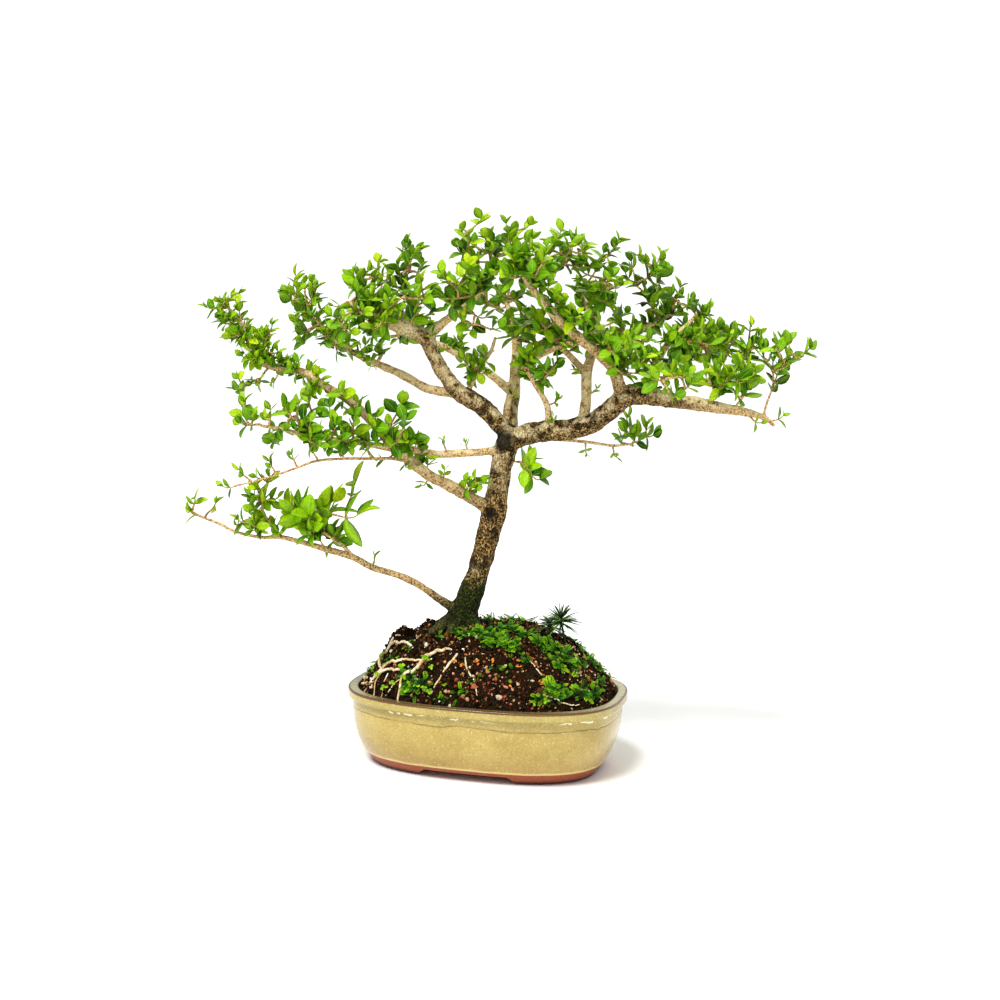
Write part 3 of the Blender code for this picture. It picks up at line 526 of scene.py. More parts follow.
def screen_finish():
    """Moulded dark green plastic, scuffed and dusted with soil."""
    finish, tree, shader = new_finish("mesh_plastic", 0.5)
    place = object_place(tree)
    dust = clouds(tree, place, 300.0, detail=4.0)
    colour = mottled(tree, dust, 0.45, 0.7, paint(26, 40, 28), paint(86, 72, 50))
    tree.links.new(colour, shader.inputs["Base Color"])
    relief(tree, shader, dust, 0.0002)
    return finish


def wire_finish():
    """Dull aluminium wire with drawn lines and spots of tarnish."""
    finish, tree, shader = new_finish("wire", 0.35)
    place = object_place(tree)
    lines = clouds(tree, stretched(tree, place, (1.0, 0.15, 1.0)), 2500.0)
    tarnish = ramp(tree, clouds(tree, place, 400.0), 0.5, 0.7)
    colour = washed(tree, paint(150, 146, 140), paint(196, 192, 186), lines)
    tree.links.new(washed(tree, colour, paint(104, 92, 78), tarnish), shader.inputs["Base Color"])
    shader.inputs["Metallic"].default_value = 1.0
    relief(tree, shader, lines, 0.0001)
    return finish


screen_plastic = screen_finish()
clip_wire = wire_finish()
for side in ("left", "right"):
    for node, finish in ((f"drain_screen_{side}", screen_plastic), (f"screen_clip_{side}", clip_wire)):
        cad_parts[node].data.materials.clear()
        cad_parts[node].data.materials.append(finish)


# The soil -------------------------------------------------------------------------------------
# A steep mound of dark granular potting mix, built up round the roots and settled against the lip.
# Its skin is a lumpy sheet with a skirt that goes down inside the pot, and loose crumbs lie on it.

MOUND_SHOULDER = 2.6
MOUND_FALL = 0.9
SOIL_BELOW_LIP = 0.004
SOIL_SKIRT = 0.012
SOIL_AROUND = 420
SOIL_RINGS = 150
SOIL_REACH = 0.985
LUMPS = ((0.017, 0.0018), (0.0075, 0.0014), (0.0032, 0.0009), (0.0016, 0.0005))
# Clods of old root ball that stand out of the mound: (x, y, reach, rise), metres from the middle
CLODS = (
    (-0.083, -0.014, 0.0125, 0.0125), (-0.094, -0.038, 0.008, 0.004), (-0.058, -0.008, 0.012, 0.005),
    (-0.050, -0.022, 0.012, 0.004), (0.086, -0.004, 0.012, 0.003), (0.048, -0.030, 0.012, 0.002),
)
CRUMB_COUNT = 9900
GRIT_COUNT = 520

soil_low, soil_high = (np.array(corner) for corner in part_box("soil"))
soil_half = (soil_high - soil_low)[:2] / 2
soil_edge = lip_top - SOIL_BELOW_LIP


def oval_share(x, y):
    """How far out a place lies, as a share of the way from the middle to the soil's own oval."""
    power = np.abs(x / soil_half[0]) ** POT_PLAN_POWER + np.abs(y / soil_half[1]) ** POT_PLAN_POWER
    return power ** (1 / POT_PLAN_POWER)


def mound_height(x, y):
    """Rises from the edge as (1 - s^2.6)^0.9, where s is the share of the way out from the middle
    on the pot's own oval."""
    share = np.clip(oval_share(x, y), 0, 1)
    return soil_edge + (soil_high[2] - soil_edge) * (1 - share**MOUND_SHOULDER) ** MOUND_FALL


def ground_height(x, y):
    """The mound with its lumps, and the flat-topped clods, which rise as exp(-(distance/reach)^4)."""
    flat = np.stack([x, y, np.zeros_like(x)], axis=-1).reshape(-1, 3)
    height = mound_height(x, y)
    for seed, (size, rise) in enumerate(LUMPS):
        height = height + unevenness(flat, size, 20 + seed).reshape(height.shape) * rise
    for clod_x, clod_y, reach, rise in CLODS:
        away = np.hypot(x - clod_x, y - clod_y) / reach
        height = height + rise * np.exp(-(away**4))
    return height - 0.0006


def ground_normal(x, y):
    """Outward direction of the smooth mound, from its slope over half a millimetre."""
    step = 0.0005
    slope_x = (mound_height(x + step, y) - mound_height(x - step, y)) / (2 * step)
    slope_y = (mound_height(x, y + step) - mound_height(x, y - step)) / (2 * step)
    normal = np.stack([-slope_x, -slope_y, np.ones_like(slope_x)], axis=-1)
    return normal / np.linalg.norm(normal, axis=-1, keepdims=True)


def soil_finish():
    """Near-black humus with brown and rusty grains and olive patches."""
    finish, tree, shader = new_finish("soil", 0.95, gloss=0.1)
    place = object_place(tree)
    fine = clouds(tree, place, 900.0, detail=5.0, roughness=0.7)
    broad = clouds(tree, place, 90.0)
    colour = mottled(tree, fine, 0.4, 0.62, paint(14, 9, 5), paint(62, 40, 20))
    colour = washed(tree, colour, paint(46, 44, 18), ramp(tree, broad, 0.45, 0.7), 0.6)
    grains = speckled(tree, place, 620.0, 0.3, 0.12, 420.0, 0.56, 0.62)
    colour = washed(tree, colour, paint(150, 100, 56), grains["Mask"])
    tree.links.new(colour, shader.inputs["Base Color"])
    tree.links.new(plus(tree, times(tree, fine, 0.3), 0.65), shader.inputs["Roughness"])
    relief(tree, shader, plus(tree, fine, times(tree, grains["Spots"], 0.5)), 0.0012)
    return finish


def toned(tree, label, shades):
    """A colour picked by the piece's own value, from shades at these shares of the way."""
    tone = tree.nodes.new("ShaderNodeValToRGB")
    fed(tree, tone.inputs["Fac"], point_value(tree, label))
    while len(tone.color_ramp.elements) < len(shades):
        tone.color_ramp.elements.new(0.5)
    for stop, (position, shade) in zip(tone.color_ramp.elements, shades):
        stop.position = position
        stop.color = paint(*shade)
    return tone.outputs["Color"]


def crumb_finish():
    """One crumb to the next: black, brown, tan, rust and a few pale ones, by its own tone."""
    finish, tree, shader = new_finish("crumbs", 0.9, gloss=0.15)
    shades = (
        (0.0, (12, 8, 4)), (0.45, (32, 20, 10)), (0.66, (62, 40, 20)), (0.8, (104, 68, 34)),
        (0.88, (148, 84, 38)), (0.94, (178, 142, 92)), (0.985, (222, 208, 176)), (1.0, (248, 242, 228)),
    )
    tone = toned(tree, "tone", shades)
    grain = clouds(tree, object_place(tree), 1600.0, detail=3.0)
    colour = washed(tree, tone, paint(20, 12, 6), ramp(tree, grain, 0.5, 0.75), 0.5)
    tree.links.new(colour, shader.inputs["Base Color"])
    relief(tree, shader, grain, 0.0004)
    return finish


def grit_finish():
    """Crushed stone and fired clay: pink, white, and rust, with darker chips, by its own tone."""
    finish, tree, shader = new_finish("grit", 0.7, gloss=0.3)
    shades = (
        (0.0, (62, 34, 18)), (0.25, (112, 58, 30)), (0.45, (164, 84, 52)), (0.62, (198, 116, 92)),
        (0.78, (214, 152, 124)), (0.9, (208, 184, 146)), (1.0, (240, 232, 212)),
    )
    tone = toned(tree, "tone", shades)
    grain = clouds(tree, object_place(tree), 1100.0, detail=4.0)
    colour = washed(tree, tone, paint(120, 60, 40), ramp(tree, grain, 0.5, 0.7), 0.55)
    tree.links.new(colour, shader.inputs["Base Color"])
    relief(tree, shader, grain, 0.0004)
    return finish


def soil_piece():
    """Rings from the middle to the edge at the ground's height, then a skirt down and a flat base."""
    turn_x, turn_y = plan_turn(SOIL_AROUND)
    share = np.concatenate([np.linspace(0.004, 1, SOIL_RINGS) ** 0.85, [1.0, 1.0, 0.5, 0.01]])
    x = share[:, None] * turn_x * soil_half[0]
    y = share[:, None] * turn_y * soil_half[1]
    z = ground_height(x, y)
    z[SOIL_RINGS] = soil_edge - 0.004
    z[SOIL_RINGS + 1 :] = soil_edge - SOIL_SKIRT
    points = np.stack([x, y, z], axis=-1).reshape(-1, 3)
    rows = len(share)
    top = np.array([[0, 0, ground_height(np.zeros(1), np.zeros(1))[0]], [0, 0, soil_edge - SOIL_SKIRT]])
    ring = np.arange(SOIL_AROUND)
    last = (rows - 1) * SOIL_AROUND
    crown = np.stack([np.full(SOIL_AROUND, rows * SOIL_AROUND), ring, (ring + 1) % SOIL_AROUND], axis=1)
    base = np.stack(
        [np.full(SOIL_AROUND, rows * SOIL_AROUND + 1), last + (ring + 1) % SOIL_AROUND, last + ring], axis=1
    )
    faces = grid_faces(rows, SOIL_AROUND)[:, ::-1]
    return new_piece(
        "soil_mound", np.concatenate([points, top]), [*faces, *crown, *base], soil_finish()
    )


def ball_points(level):
    """A unit icosahedron, level 0, or the same with every edge halved and pushed out, level 1."""
    gold = (1 + 5**0.5) / 2
    ball = [(-1, gold, 0), (1, gold, 0), (-1, -gold, 0), (1, -gold, 0), (0, -1, gold), (0, 1, gold),
            (0, -1, -gold), (0, 1, -gold), (gold, 0, -1), (gold, 0, 1), (-gold, 0, -1), (-gold, 0, 1)]
    faces = [(0, 11, 5), (0, 5, 1), (0, 1, 7), (0, 7, 10), (0, 10, 11), (1, 5, 9), (5, 11, 4), (11, 10, 2),
             (10, 7, 6), (7, 1, 8), (3, 9, 4), (3, 4, 2), (3, 2, 6), (3, 6, 8), (3, 8, 9), (4, 9, 5),
             (2, 4, 11), (6, 2, 10), (8, 6, 7), (9, 8, 1)]
    points = np.array(ball, float)
    faces = np.array(faces)
    for _ in range(level):
        ends = np.sort(np.concatenate([faces[:, [0, 1]], faces[:, [1, 2]], faces[:, [2, 0]]]), axis=1)
        edges, index = np.unique(ends, axis=0, return_inverse=True)
        middle = (index.reshape(3, -1) + len(points)).T
        points = np.concatenate([points, points[edges].mean(axis=1)])
        a, b, c = faces.T
        ab, bc, ca = middle.T
        faces = np.concatenate(
            [np.stack(t, axis=1) for t in ((a, ab, ca), (b, bc, ab), (c, ca, bc), (ab, bc, ca))]
        )
    return points / np.linalg.norm(points, axis=1, keepdims=True), faces


def turned_frames(normal, spin):
    """Three axes for each direction, the third along it, turned about it by the spin."""
    side = np.cross(normal, np.where(np.abs(normal[:, 2:]) < 0.9, (0.0, 0.0, 1.0), (1.0, 0.0, 0.0)))
    side /= np.linalg.norm(side, axis=1, keepdims=True)
    other = np.cross(normal, side)
    first = side * np.cos(spin)[:, None] + other * np.sin(spin)[:, None]
    return np.stack([first, np.cross(normal, first), normal], axis=1)


def scattered_stones(name, at, normal, sizes, tones, finish, level, roughness, seed):
    """One faceted lump at each place: a ball whose points are each drawn in or out, stretched to
    its three sizes, and sunk a third of its height into the ground."""
    chance = np.random.default_rng(seed)
    ball, faces = ball_points(level)
    count = len(at)
    radius = 1 + chance.uniform(-roughness, roughness, (count, len(ball), 1))
    local = ball[None] * radius * sizes[:, None, :]
    local[..., 2] += sizes[:, None, 2] * 0.35
    axes = turned_frames(normal, chance.uniform(0, 2 * np.pi, count))
    points = np.einsum("nvi,nij->nvj", local, axes) + at[:, None, :]
    all_faces = (faces[None] + (np.arange(count) * len(ball))[:, None, None]).reshape(-1, 3)
    tone = np.repeat(tones, len(ball))
    return new_piece(
        name, points.reshape(-1, 3), all_faces, finish, smooth=False, values={"tone": tone}
    )


def ground_places(count, seed, reach=SOIL_REACH):
    """Evenly scattered places on the mound: x and y drawn over the oval, then set on the ground."""
    chance = np.random.default_rng(seed)
    x, y = chance.uniform(-1, 1, (2, count * 2))
    inside = (np.abs(x) ** POT_PLAN_POWER + np.abs(y) ** POT_PLAN_POWER) < reach**POT_PLAN_POWER
    x = x[inside][:count] * soil_half[0]
    y = y[inside][:count] * soil_half[1]
    return np.stack([x, y, ground_height(x, y)], axis=1)


def crumb_piece():
    chance = np.random.default_rng(31)
    at = ground_places(CRUMB_COUNT, 32)
    size = 0.00045 + 0.0014 * chance.random(len(at)) ** 3.0
    sizes = size[:, None] * chance.uniform(0.65, 1.35, (len(at), 3))
    tones = chance.random(len(at))
    normal = ground_normal(at[:, 0], at[:, 1])
    return scattered_stones("soil_crumbs", at, normal, sizes, tones, crumb_finish(), 0, 0.3, 33)


def grit_piece():
    """Small grit everywhere and a drift of larger pink chips down the front, with the tray's own
    three largest stones among them."""
    chance = np.random.default_rng(41)
    at = ground_places(GRIT_COUNT, 42)
    size = 0.0005 + 0.0007 * chance.random(len(at))
    tones = chance.random(len(at)) ** 0.6
    drift = np.stack([chance.normal(0.026, 0.022, 110), chance.normal(-0.0765, 0.0045, 110)], axis=1)
    drift = np.concatenate(
        [drift, np.stack([chance.normal(0.012, 0.006, 10), chance.normal(-0.068, 0.004, 10)], axis=1)]
    )
    drift = drift[np.abs(drift[:, 1]) < soil_half[1] - 0.003]
    drift = np.column_stack([drift, ground_height(drift[:, 0], drift[:, 1])])
    drift_size = 0.0005 + 0.0014 * chance.random(len(drift)) ** 2.2
    drift_tone = chance.uniform(0.0, 0.8, len(drift))
    big = []
    for node in ("pebble_pale", "pebble_pink", "pebble_rust"):
        low, high = (np.array(corner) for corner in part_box(node))
        big.append(((low + high) / 2 * (1, 1, 0), (high - low).max() / 2))
    big_at = np.array([place for place, _ in big])
    big_at[:, 2] = ground_height(big_at[:, 0], big_at[:, 1])
    at = np.concatenate([at, drift, big_at])
    size = np.concatenate([size, drift_size, [half * 0.85 for _, half in big]])
    tones = np.concatenate([tones, drift_tone, [0.93, 0.6, 0.05]])
    sizes = size[:, None] * chance.uniform(0.55, 1.3, (len(at), 3))
    normal = ground_normal(at[:, 0], at[:, 1])
    return scattered_stones("grit", at, normal, sizes, tones, grit_finish(), 1, 0.22, 43)


soil_mound = soil_piece()
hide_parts("soil")
soil_crumbs = crumb_piece()
grit = grit_piece()
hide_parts("pebble_pale", "pebble_pink", "pebble_rust")


# The trunk and branches -----------------------------------------------------------------------
# One living body of wood: a leaning trunk on a flared base that forks into arching limbs. Each limb is
# a tube along its route; the tubes are fused into one skin, then swollen, cracked and scarred.

# Each route: (x, y, z, radius) in millimetres from the root collar
LIMBS = {
    "trunk": [
        (4, 0, -22, 15), (2, 0, -9, 17), (4, 1, 9, 14), (9, 2, 22, 11.5), (16, 4, 45, 10.5),
        (22, 5, 68, 10.5), (27, 7, 91, 10.8), (30, 8, 108, 11), (33, 8, 126, 9.6), (35, 9, 145, 10),
        (39, 10, 161, 11), (43, 11, 176, 11.5),
    ],
    "right_limb": [
        (36, 10, 166, 10), (65, 14, 176, 10), (91, 18, 179, 9.5), (116, 18, 186, 9), (136, 15, 201, 9),
        (152, 13, 212, 9), (176, 14, 210, 7.5), (207, 20, 206, 6), (229, 30, 202, 5), (248, 43, 199, 4),
        (264, 56, 194, 2.5), (272, 62, 187, 1.5),
    ],
    "front_arch": [
        (144, 15, 206, 6.0), (138, 3, 231, 5.2), (126, -8, 247, 4.9), (111, -21, 260, 4.5),
        (95, -29, 274, 4.1), (80, -36, 292, 3.6), (67, -34, 306, 3.0), (57, -32, 323, 2.2),
    ],
    "rear_riser": [
        (107, 18, 184, 5.5), (107, 32, 209, 5), (104, 44, 229, 5), (105, 61, 245, 4.5),
        (110, 79, 261, 4.5), (101, 89, 278, 4), (91, 94, 292, 3.5), (82, 99, 306, 2.5),
    ],
    "riser_fork": [(104, 44, 229, 3.5), (93, 45, 240, 3), (86, 38, 248, 2.8), (76, 25, 259, 2)],
    "riser_right": [(110, 79, 261, 3.5), (129, 94, 266, 3), (152, 105, 276, 2.6), (166, 110, 284, 2)],
    "small_riser": [(77, 15, 178, 3.5), (76, 11, 200, 2.8), (67, 5, 217, 2.4), (60, -1, 230, 2)],
    "grey_stub": [(37, 13, 176, 3), (38, 18, 204, 2.8), (41, 25, 217, 2.4), (45, 36, 237, 1.8)],
    "left_limb": [
        (42, 11, 172, 9), (20, 0, 197, 8), (1, -11, 210, 7.5), (-13, -16, 227, 6.6),
        (-22, -19, 244, 6.6), (-29, -21, 257, 7), (-42, -26, 265, 6.5), (-56, -34, 269, 4.5),
        (-73, -45, 278, 3), (-93, -46, 288, 2),
    ],
    "left_upper": [
        (-29, -21, 257, 4.5), (-12, -18, 273, 3.8), (5, -20, 285, 3.2), (22, -21, 301, 2.6),
        (27, -12, 324, 2),
    ],
    "left_second": [
        (2, -10, 209, 5), (-29, -10, 213, 4), (-52, -10, 224, 3.8), (-75, -10, 233, 3.4),
        (-99, -11, 243, 3), (-118, -12, 253, 2.5), (-138, -11, 269, 2),
    ],
    "left_horizontal": [
        (36, 9, 159, 4), (11, -10, 157, 3.6), (-13, -30, 156, 3.4), (-30, -48, 160, 3),
        (-48, -63, 162, 2.8), (-65, -76, 166, 2.4), (-86, -88, 169, 2.2), (-108, -96, 171, 2),
        (-127, -103, 177, 1.6), (-145, -110, 180, 1.3),
    ],
    "left_lower": [
        (28, 8, 104, 6), (1, -16, 124, 5.2), (-17, -34, 136, 5), (-30, -48, 149, 4.8),
        (-43, -59, 163, 4.5), (-63, -67, 186, 4.2), (-83, -72, 204, 4), (-102, -74, 214, 3.8),
        (-123, -75, 226, 3.6), (-144, -76, 228, 3), (-162, -77, 234, 2.4), (-172, -76, 250, 2),
        (-182, -75, 269, 1.6), (-195, -76, 282, 1.2),
    ],
    "low_branch": [
        (4, 0, 10, 5), (-11, -14, 22, 3.8), (-29, -29, 38, 3.4), (-43, -41, 47, 3.2),
        (-63, -55, 55, 3.1), (-79, -65, 65, 3), (-100, -75, 72, 2.8), (-120, -82, 78, 2.6),
        (-138, -87, 82, 2.2), (-154, -89, 81, 1.6), (-178, -92, 85, 1.4), (-195, -92, 92, 1.2),
        (-212, -92, 97, 1.1), (-226, -91, 104, 0.9),
    ],
    "low_shoot": [
        (-138, -87, 82, 1.8), (-146, -91, 95, 1.5), (-151, -95, 106, 1.3), (-148, -94, 126, 1.1),
    ],
    "low_spur": [(-79, -65, 66, 2), (-85, -71, 75, 1.6), (-91, -77, 81, 1.4), (-103, -86, 91, 1.1)],
    "right_whip": [
        (48, 14, 166, 2.2), (70, 33, 169, 1.7), (104, 48, 167, 1.5), (128, 57, 164, 1.3),
        (145, 61, 166, 1.1),
    ],
    "back_limb": [
        (40, 12, 170, 8), (36, 34, 191, 7), (33, 56, 209, 6), (29, 76, 231, 5.2), (25, 92, 253, 4.4),
        (18, 104, 276, 3.4), (9, 110, 297, 2.4),
    ],
    "back_left": [
        (33, 56, 209, 4.5), (5, 70, 227, 4), (-27, 82, 243, 3.4), (-58, 90, 256, 2.8), (-87, 94, 267, 2),
    ],
    "back_right": [(29, 76, 231, 4.2), (50, 95, 247, 3.6), (76, 108, 259, 3), (100, 117, 272, 2.2)],
    "right_riser": [
        (164, 13, 206, 4), (167, 22, 231, 3.6), (173, 31, 247, 3.4), (180, 41, 260, 3),
        (191, 55, 273, 2.4), (198, 70, 284, 1.8),
    ],
    "right_back": [(180, 41, 260, 2.6), (196, 76, 259, 2.2), (203, 98, 262, 1.6)],
    "flare_front": [(4, -2, 8, 9), (2, -12, 0, 6.5), (0, -22, -4, 4), (-3, -32, -9, 2)],
    "flare_left": [(2, 0, 8, 9), (-10, -4, 1, 6.5), (-20, -7, -3, 4), (-30, -9, -8, 2.2)],
    "flare_left_front": [(2, -2, 8, 8), (-8, -12, 1, 6), (-16, -20, -4, 4), (-22, -28, -9, 2)],
    "flare_right": [(6, 0, 8, 9), (16, -6, 0, 6), (24, -12, -4, 3.6), (32, -18, -8, 2)],
    "flare_back": [(4, 2, 8, 9), (0, 14, 0, 6), (-4, 24, -4, 3.6), (-8, 34, -8, 2)],
    "inner_shoot": [(5, -9, 206, 2.4), (12, 3, 227, 2), (21, 16, 247, 1.7), (24, 20, 260, 1.3)],
}
COLLAR_X = -0.028
COLLAR_Y = -0.007
FUSED_RADIUS = 0.0017
STOUT_RADIUS = 0.011
BARK_RISE = 0.3
SKIN_SIZE = 0.0011
# Burrs, cut scars and knuckles: (x, y, z, reach, swelling, darkness, paleness), millimetres from the collar
SCARS = (
    (38, -2, 168, 12, 0.6, 1.0, 0.0), (30, -2, 104, 8, 0.8, 0.8, 0.0), (24, -6, 118, 4, 0.8, 0.0, 0.9),
    (46, 4, 98, 6, 1.2, 0.6, 0.0), (12, -6, 60, 8, 0.5, 0.8, 0.0), (17, -9, 50, 4, 0.6, 0.0, 0.7),
    (-43, -32, 266, 9, 1.6, 0.0, 1.0), (-28, -28, 246, 6, 0.7, 0.4, 0.0), (92, 6, 186, 7, 0.8, 0.7, 0.0),
    (118, 6, 192, 7, 0.7, 0.8, 0.0), (140, 2, 210, 8, 0.8, 0.5, 0.0), (-2, -20, 126, 5, 0.7, 0.5, 0.0),
    (-30, -50, 150, 6, 0.8, 0.7, 0.0), (-44, -62, 164, 5, 0.6, 0.5, 0.0),
    (-62, -36, 228, 5, 0.5, 0.3, 0.0), (4, -14, 24, 9, 0.8, 0.7, 0.0), (-2, -16, 8, 11, 1.0, 0.6, 0.0),
    (62, 4, 176, 6, 0.5, 0.0, 0.6), (-12, -24, 226, 5, 0.6, 0.5, 0.0), (36, 0, 140, 6, 0.5, 0.5, 0.0),
    (27, -5, 84, 6, 0.5, 0.5, 0.0),
)

collar = np.array([COLLAR_X, COLLAR_Y, float(mound_height(np.array(COLLAR_X), np.array(COLLAR_Y)))])


def smooth_route(knots, steps):
    """A curve through every knot: Catmull and Rom's cubic, this many steps from knot to knot."""
    knots = np.asarray(knots, float)
    ends = np.concatenate([[2 * knots[0] - knots[1]], knots, [2 * knots[-1] - knots[-2]]])
    before, start, stop, after = ends[:-3], ends[1:-2], ends[2:-1], ends[3:]
    t = (np.arange(steps) / steps)[None, :, None]
    before, start, stop, after = (k[:, None, :] for k in (before, start, stop, after))
    curve = 0.5 * (
        2 * start + (stop - before) * t + (2 * before - 5 * start + 4 * stop - after) * t**2
        + (3 * start - before - 3 * stop + after) * t**3
    )
    return np.concatenate([curve.reshape(-1, knots.shape[1]), knots[-1:]])


def tube_skin(route, radius, sides):
    """Points and faces of a closed tube: a ring of this radius square to the route at each of its
    points, turned from the direction that the route goes along least, with a pole at each end."""
    heading = np.gradient(route, axis=0)
    heading /= np.linalg.norm(heading, axis=1, keepdims=True) + 1e-12
    across = np.linalg.svd(heading, full_matrices=True)[2][-1]
    first = np.cross(heading, across)
    first /= np.linalg.norm(first, axis=1, keepdims=True)
    second = np.cross(heading, first)
    turn = np.linspace(0, 2 * np.pi, sides, endpoint=False)
    spoke = first[:, None] * np.cos(turn)[None, :, None] + second[:, None] * np.sin(turn)[None, :, None]
    rings = route[:, None] + spoke * np.asarray(radius)[:, None, None]
    poles = np.stack([route[0] - heading[0] * radius[0] * 0.5, route[-1] + heading[-1] * radius[-1] * 0.5])
    points = np.concatenate([rings.reshape(-1, 3), poles])
    ring = np.arange(sides)
    count = len(route) * sides
    root = np.stack([np.full(sides, count), (ring + 1) % sides, ring], axis=1)
    tip = np.stack(
        [np.full(sides, count + 1), count - sides + ring, count - sides + (ring + 1) % sides], axis=1
    )
    return points, [*grid_faces(len(route), sides), *root, *tip]


def joined_skins(skins):
    """Several (points, faces) as one."""
    points = np.concatenate([p for p, _ in skins])
    starts = np.cumsum([0] + [len(p) for p, _ in skins[:-1]])
    faces = [tuple(np.asarray(face) + start) for start, (_, some) in zip(starts, skins) for face in some]
    return points, faces


def limb_route(limb, steps=7):
    """(x, y, z, radius) in metres along a limb."""
    return smooth_route(LIMBS[limb], steps) * MM + np.array([*collar, 0.0])


limb_routes = {limb: limb_route(limb) for limb in LIMBS}
wood_line = np.concatenate(list(limb_routes.values()))


def nearest_wood(points):
    """For each point, the radius of the nearest limb and the distance to its middle line, judged
    by distance less radius, a few thousand points at a time."""
    radius = np.empty(len(points))
    distance = np.empty(len(points))
    for start in range(0, len(points), 4000):
        part = points[start : start + 4000].astype(np.float32)
        gap = np.linalg.norm(part[:, None] - wood_line[None, :, :3].astype(np.float32), axis=2)
        near = np.argmin(gap - wood_line[None, :, 3], axis=1)
        radius[start : start + 4000] = wood_line[near, 3]
        distance[start : start + 4000] = gap[np.arange(len(part)), near]
    return radius, distance


def bark_finish():
    """Rough tan and brown bark, black in the scars and nodes, greened low down, with pale patches on
    the upper sides of the limbs, partly lichen and partly painted top light, and smoother, lighter
    skin on the youngest wood."""
    finish, tree, shader = new_finish("bark", 0.85, gloss=0.2)
    place = object_place(tree)
    grain = clouds(tree, place, 560.0, detail=5.0, roughness=0.72)
    plates = cells(tree, stretched(tree, place, (1.0, 1.0, 0.45)), 330.0, feature="DISTANCE_TO_EDGE")
    patches = clouds(tree, place, 120.0, detail=4.0)
    broad = clouds(tree, place, 38.0)
    girth = point_value(tree, "girth")
    upper = point_value(tree, "upper")
    old = mottled(tree, grain, 0.43, 0.60, paint(22, 12, 4), paint(206, 168, 104))
    old = washed(tree, old, paint(32, 22, 9), ramp(tree, patches, 0.5, 0.66), 0.85)
    young = mottled(tree, grain, 0.38, 0.54, paint(118, 78, 36), paint(232, 200, 146))
    colour = washed(tree, young, old, ramp(tree, girth, 0.3, 0.75))
    # Pale patches on the limbs' upper sides: partly lichen, partly painted top light where the light falls
    # on them.
    lichen_and_top_light = times(tree, ramp(tree, patches, 0.56, 0.42), ramp(tree, upper, 0.15, 0.7))
    lichen_and_top_light = times(tree, lichen_and_top_light, ramp(tree, point_value(tree, "level"), 0.35, 0.5))
    colour = washed(tree, colour, paint(236, 218, 174), lichen_and_top_light, 0.78)
    flecks = speckled(tree, place, 430.0, 0.3, 0.14, 210.0, 0.52, 0.6)["Mask"]
    colour = washed(tree, colour, paint(238, 220, 176), flecks, 0.85)
    low = ramp(tree, point_value(tree, "level"), 0.36, 0.0)
    green = times(tree, low, ramp(tree, broad, 0.36, 0.56))
    green = times(tree, green, ramp(tree, grain, 0.66, 0.46))
    colour = washed(tree, colour, paint(38, 46, 12), green, 0.85)
    mossy = plus(tree, ramp(tree, point_value(tree, "level"), 0.22, 0.0), times(tree, patches, 0.9))
    stout = ramp(tree, girth, 0.5, 0.9)
    footing = ramp(tree, point_value(tree, "level"), 0.10, 0.04)
    mossy = times(tree, ramp(tree, mossy, 0.65, 1.0), worked(tree, "MAXIMUM", stout, footing))
    moss_tone = mottled(tree, grain, 0.45, 0.62, paint(16, 26, 6), paint(64, 88, 18))
    colour = washed(tree, colour, moss_tone, mossy, 0.9)
    chalky = ramp(tree, grain, 0.38, 0.5)
    colour = washed(tree, colour, paint(238, 218, 172), point_value(tree, "pale"), chalky)
    dark = ramp(tree, plus(tree, point_value(tree, "scar"), times(tree, grain, 0.5)), 0.55, 1.0)
    colour = washed(tree, colour, paint(24, 22, 10), dark, 0.93)
    cracks = ramp(tree, plates, 0.09, 0.01)
    cracks = times(tree, cracks, ramp(tree, girth, 0.35, 0.8))
    colour = washed(tree, colour, paint(30, 20, 8), cracks, 0.5)
    tree.links.new(colour, shader.inputs["Base Color"])
    tree.links.new(plus(tree, times(tree, grain, 0.3), 0.6), shader.inputs["Roughness"])
    skin = worked(tree, "SUBTRACT", grain, times(tree, cracks, 0.5))
    relief(tree, shader, skin, 0.0016, 0.9)
    return finish


def limb_tubes():
    """Every limb as a tube. Where one is thinner than the fused skin can hold it is left out, and
    given back by the thin tubes."""
    thick = []
    thin = []
    for route in limb_routes.values():
        stout = route[:, 3] >= FUSED_RADIUS
        last = len(stout) - np.argmax(stout[::-1]) if stout.any() else 0
        if last > 2:
            thick.append(tube_skin(route[:last, :3], route[:last, 3], 18))
        if last < len(route) - 1:
            begin = max(last - 3, 0)
            thin.append(tube_skin(route[begin:, :3], route[begin:, 3] * 0.98, 8))
    return thick, thin


def fused_skin(skins, size):
    """One closed surface round all of the tubes, rebuilt from cubes of this size and smoothed."""
    points, faces = joined_skins(skins)
    mesh = bpy.data.meshes.new("tubes")
    mesh.from_pydata(points.tolist(), [], faces)
    rough = bpy.data.objects.new("tubes", mesh)
    bpy.context.scene.collection.objects.link(rough)
    remesh = rough.modifiers.new("skin", "REMESH")
    remesh.mode = "VOXEL"
    remesh.voxel_size = size
    even = rough.modifiers.new("even", "SMOOTH")
    even.factor = 0.5
    even.iterations = 3
    graph = bpy.context.evaluated_depsgraph_get()
    skin = bpy.data.meshes.new_from_object(rough.evaluated_get(graph))
    bpy.data.objects.remove(rough)
    return skin


def point_array(mesh, what="co"):
    values = np.empty(len(mesh.vertices) * 3, np.float32)
    mesh.vertices.foreach_get(what, values)
    return values.reshape(-1, 3).astype(float)


def face_lists(mesh):
    """The corners of each face, for a mesh of quads and triangles."""
    corners = np.empty(len(mesh.loops), np.int32)
    mesh.loops.foreach_get("vertex_index", corners)
    starts = np.empty(len(mesh.polygons), np.int32)
    mesh.polygons.foreach_get("loop_start", starts)
    return np.split(corners, starts[1:])


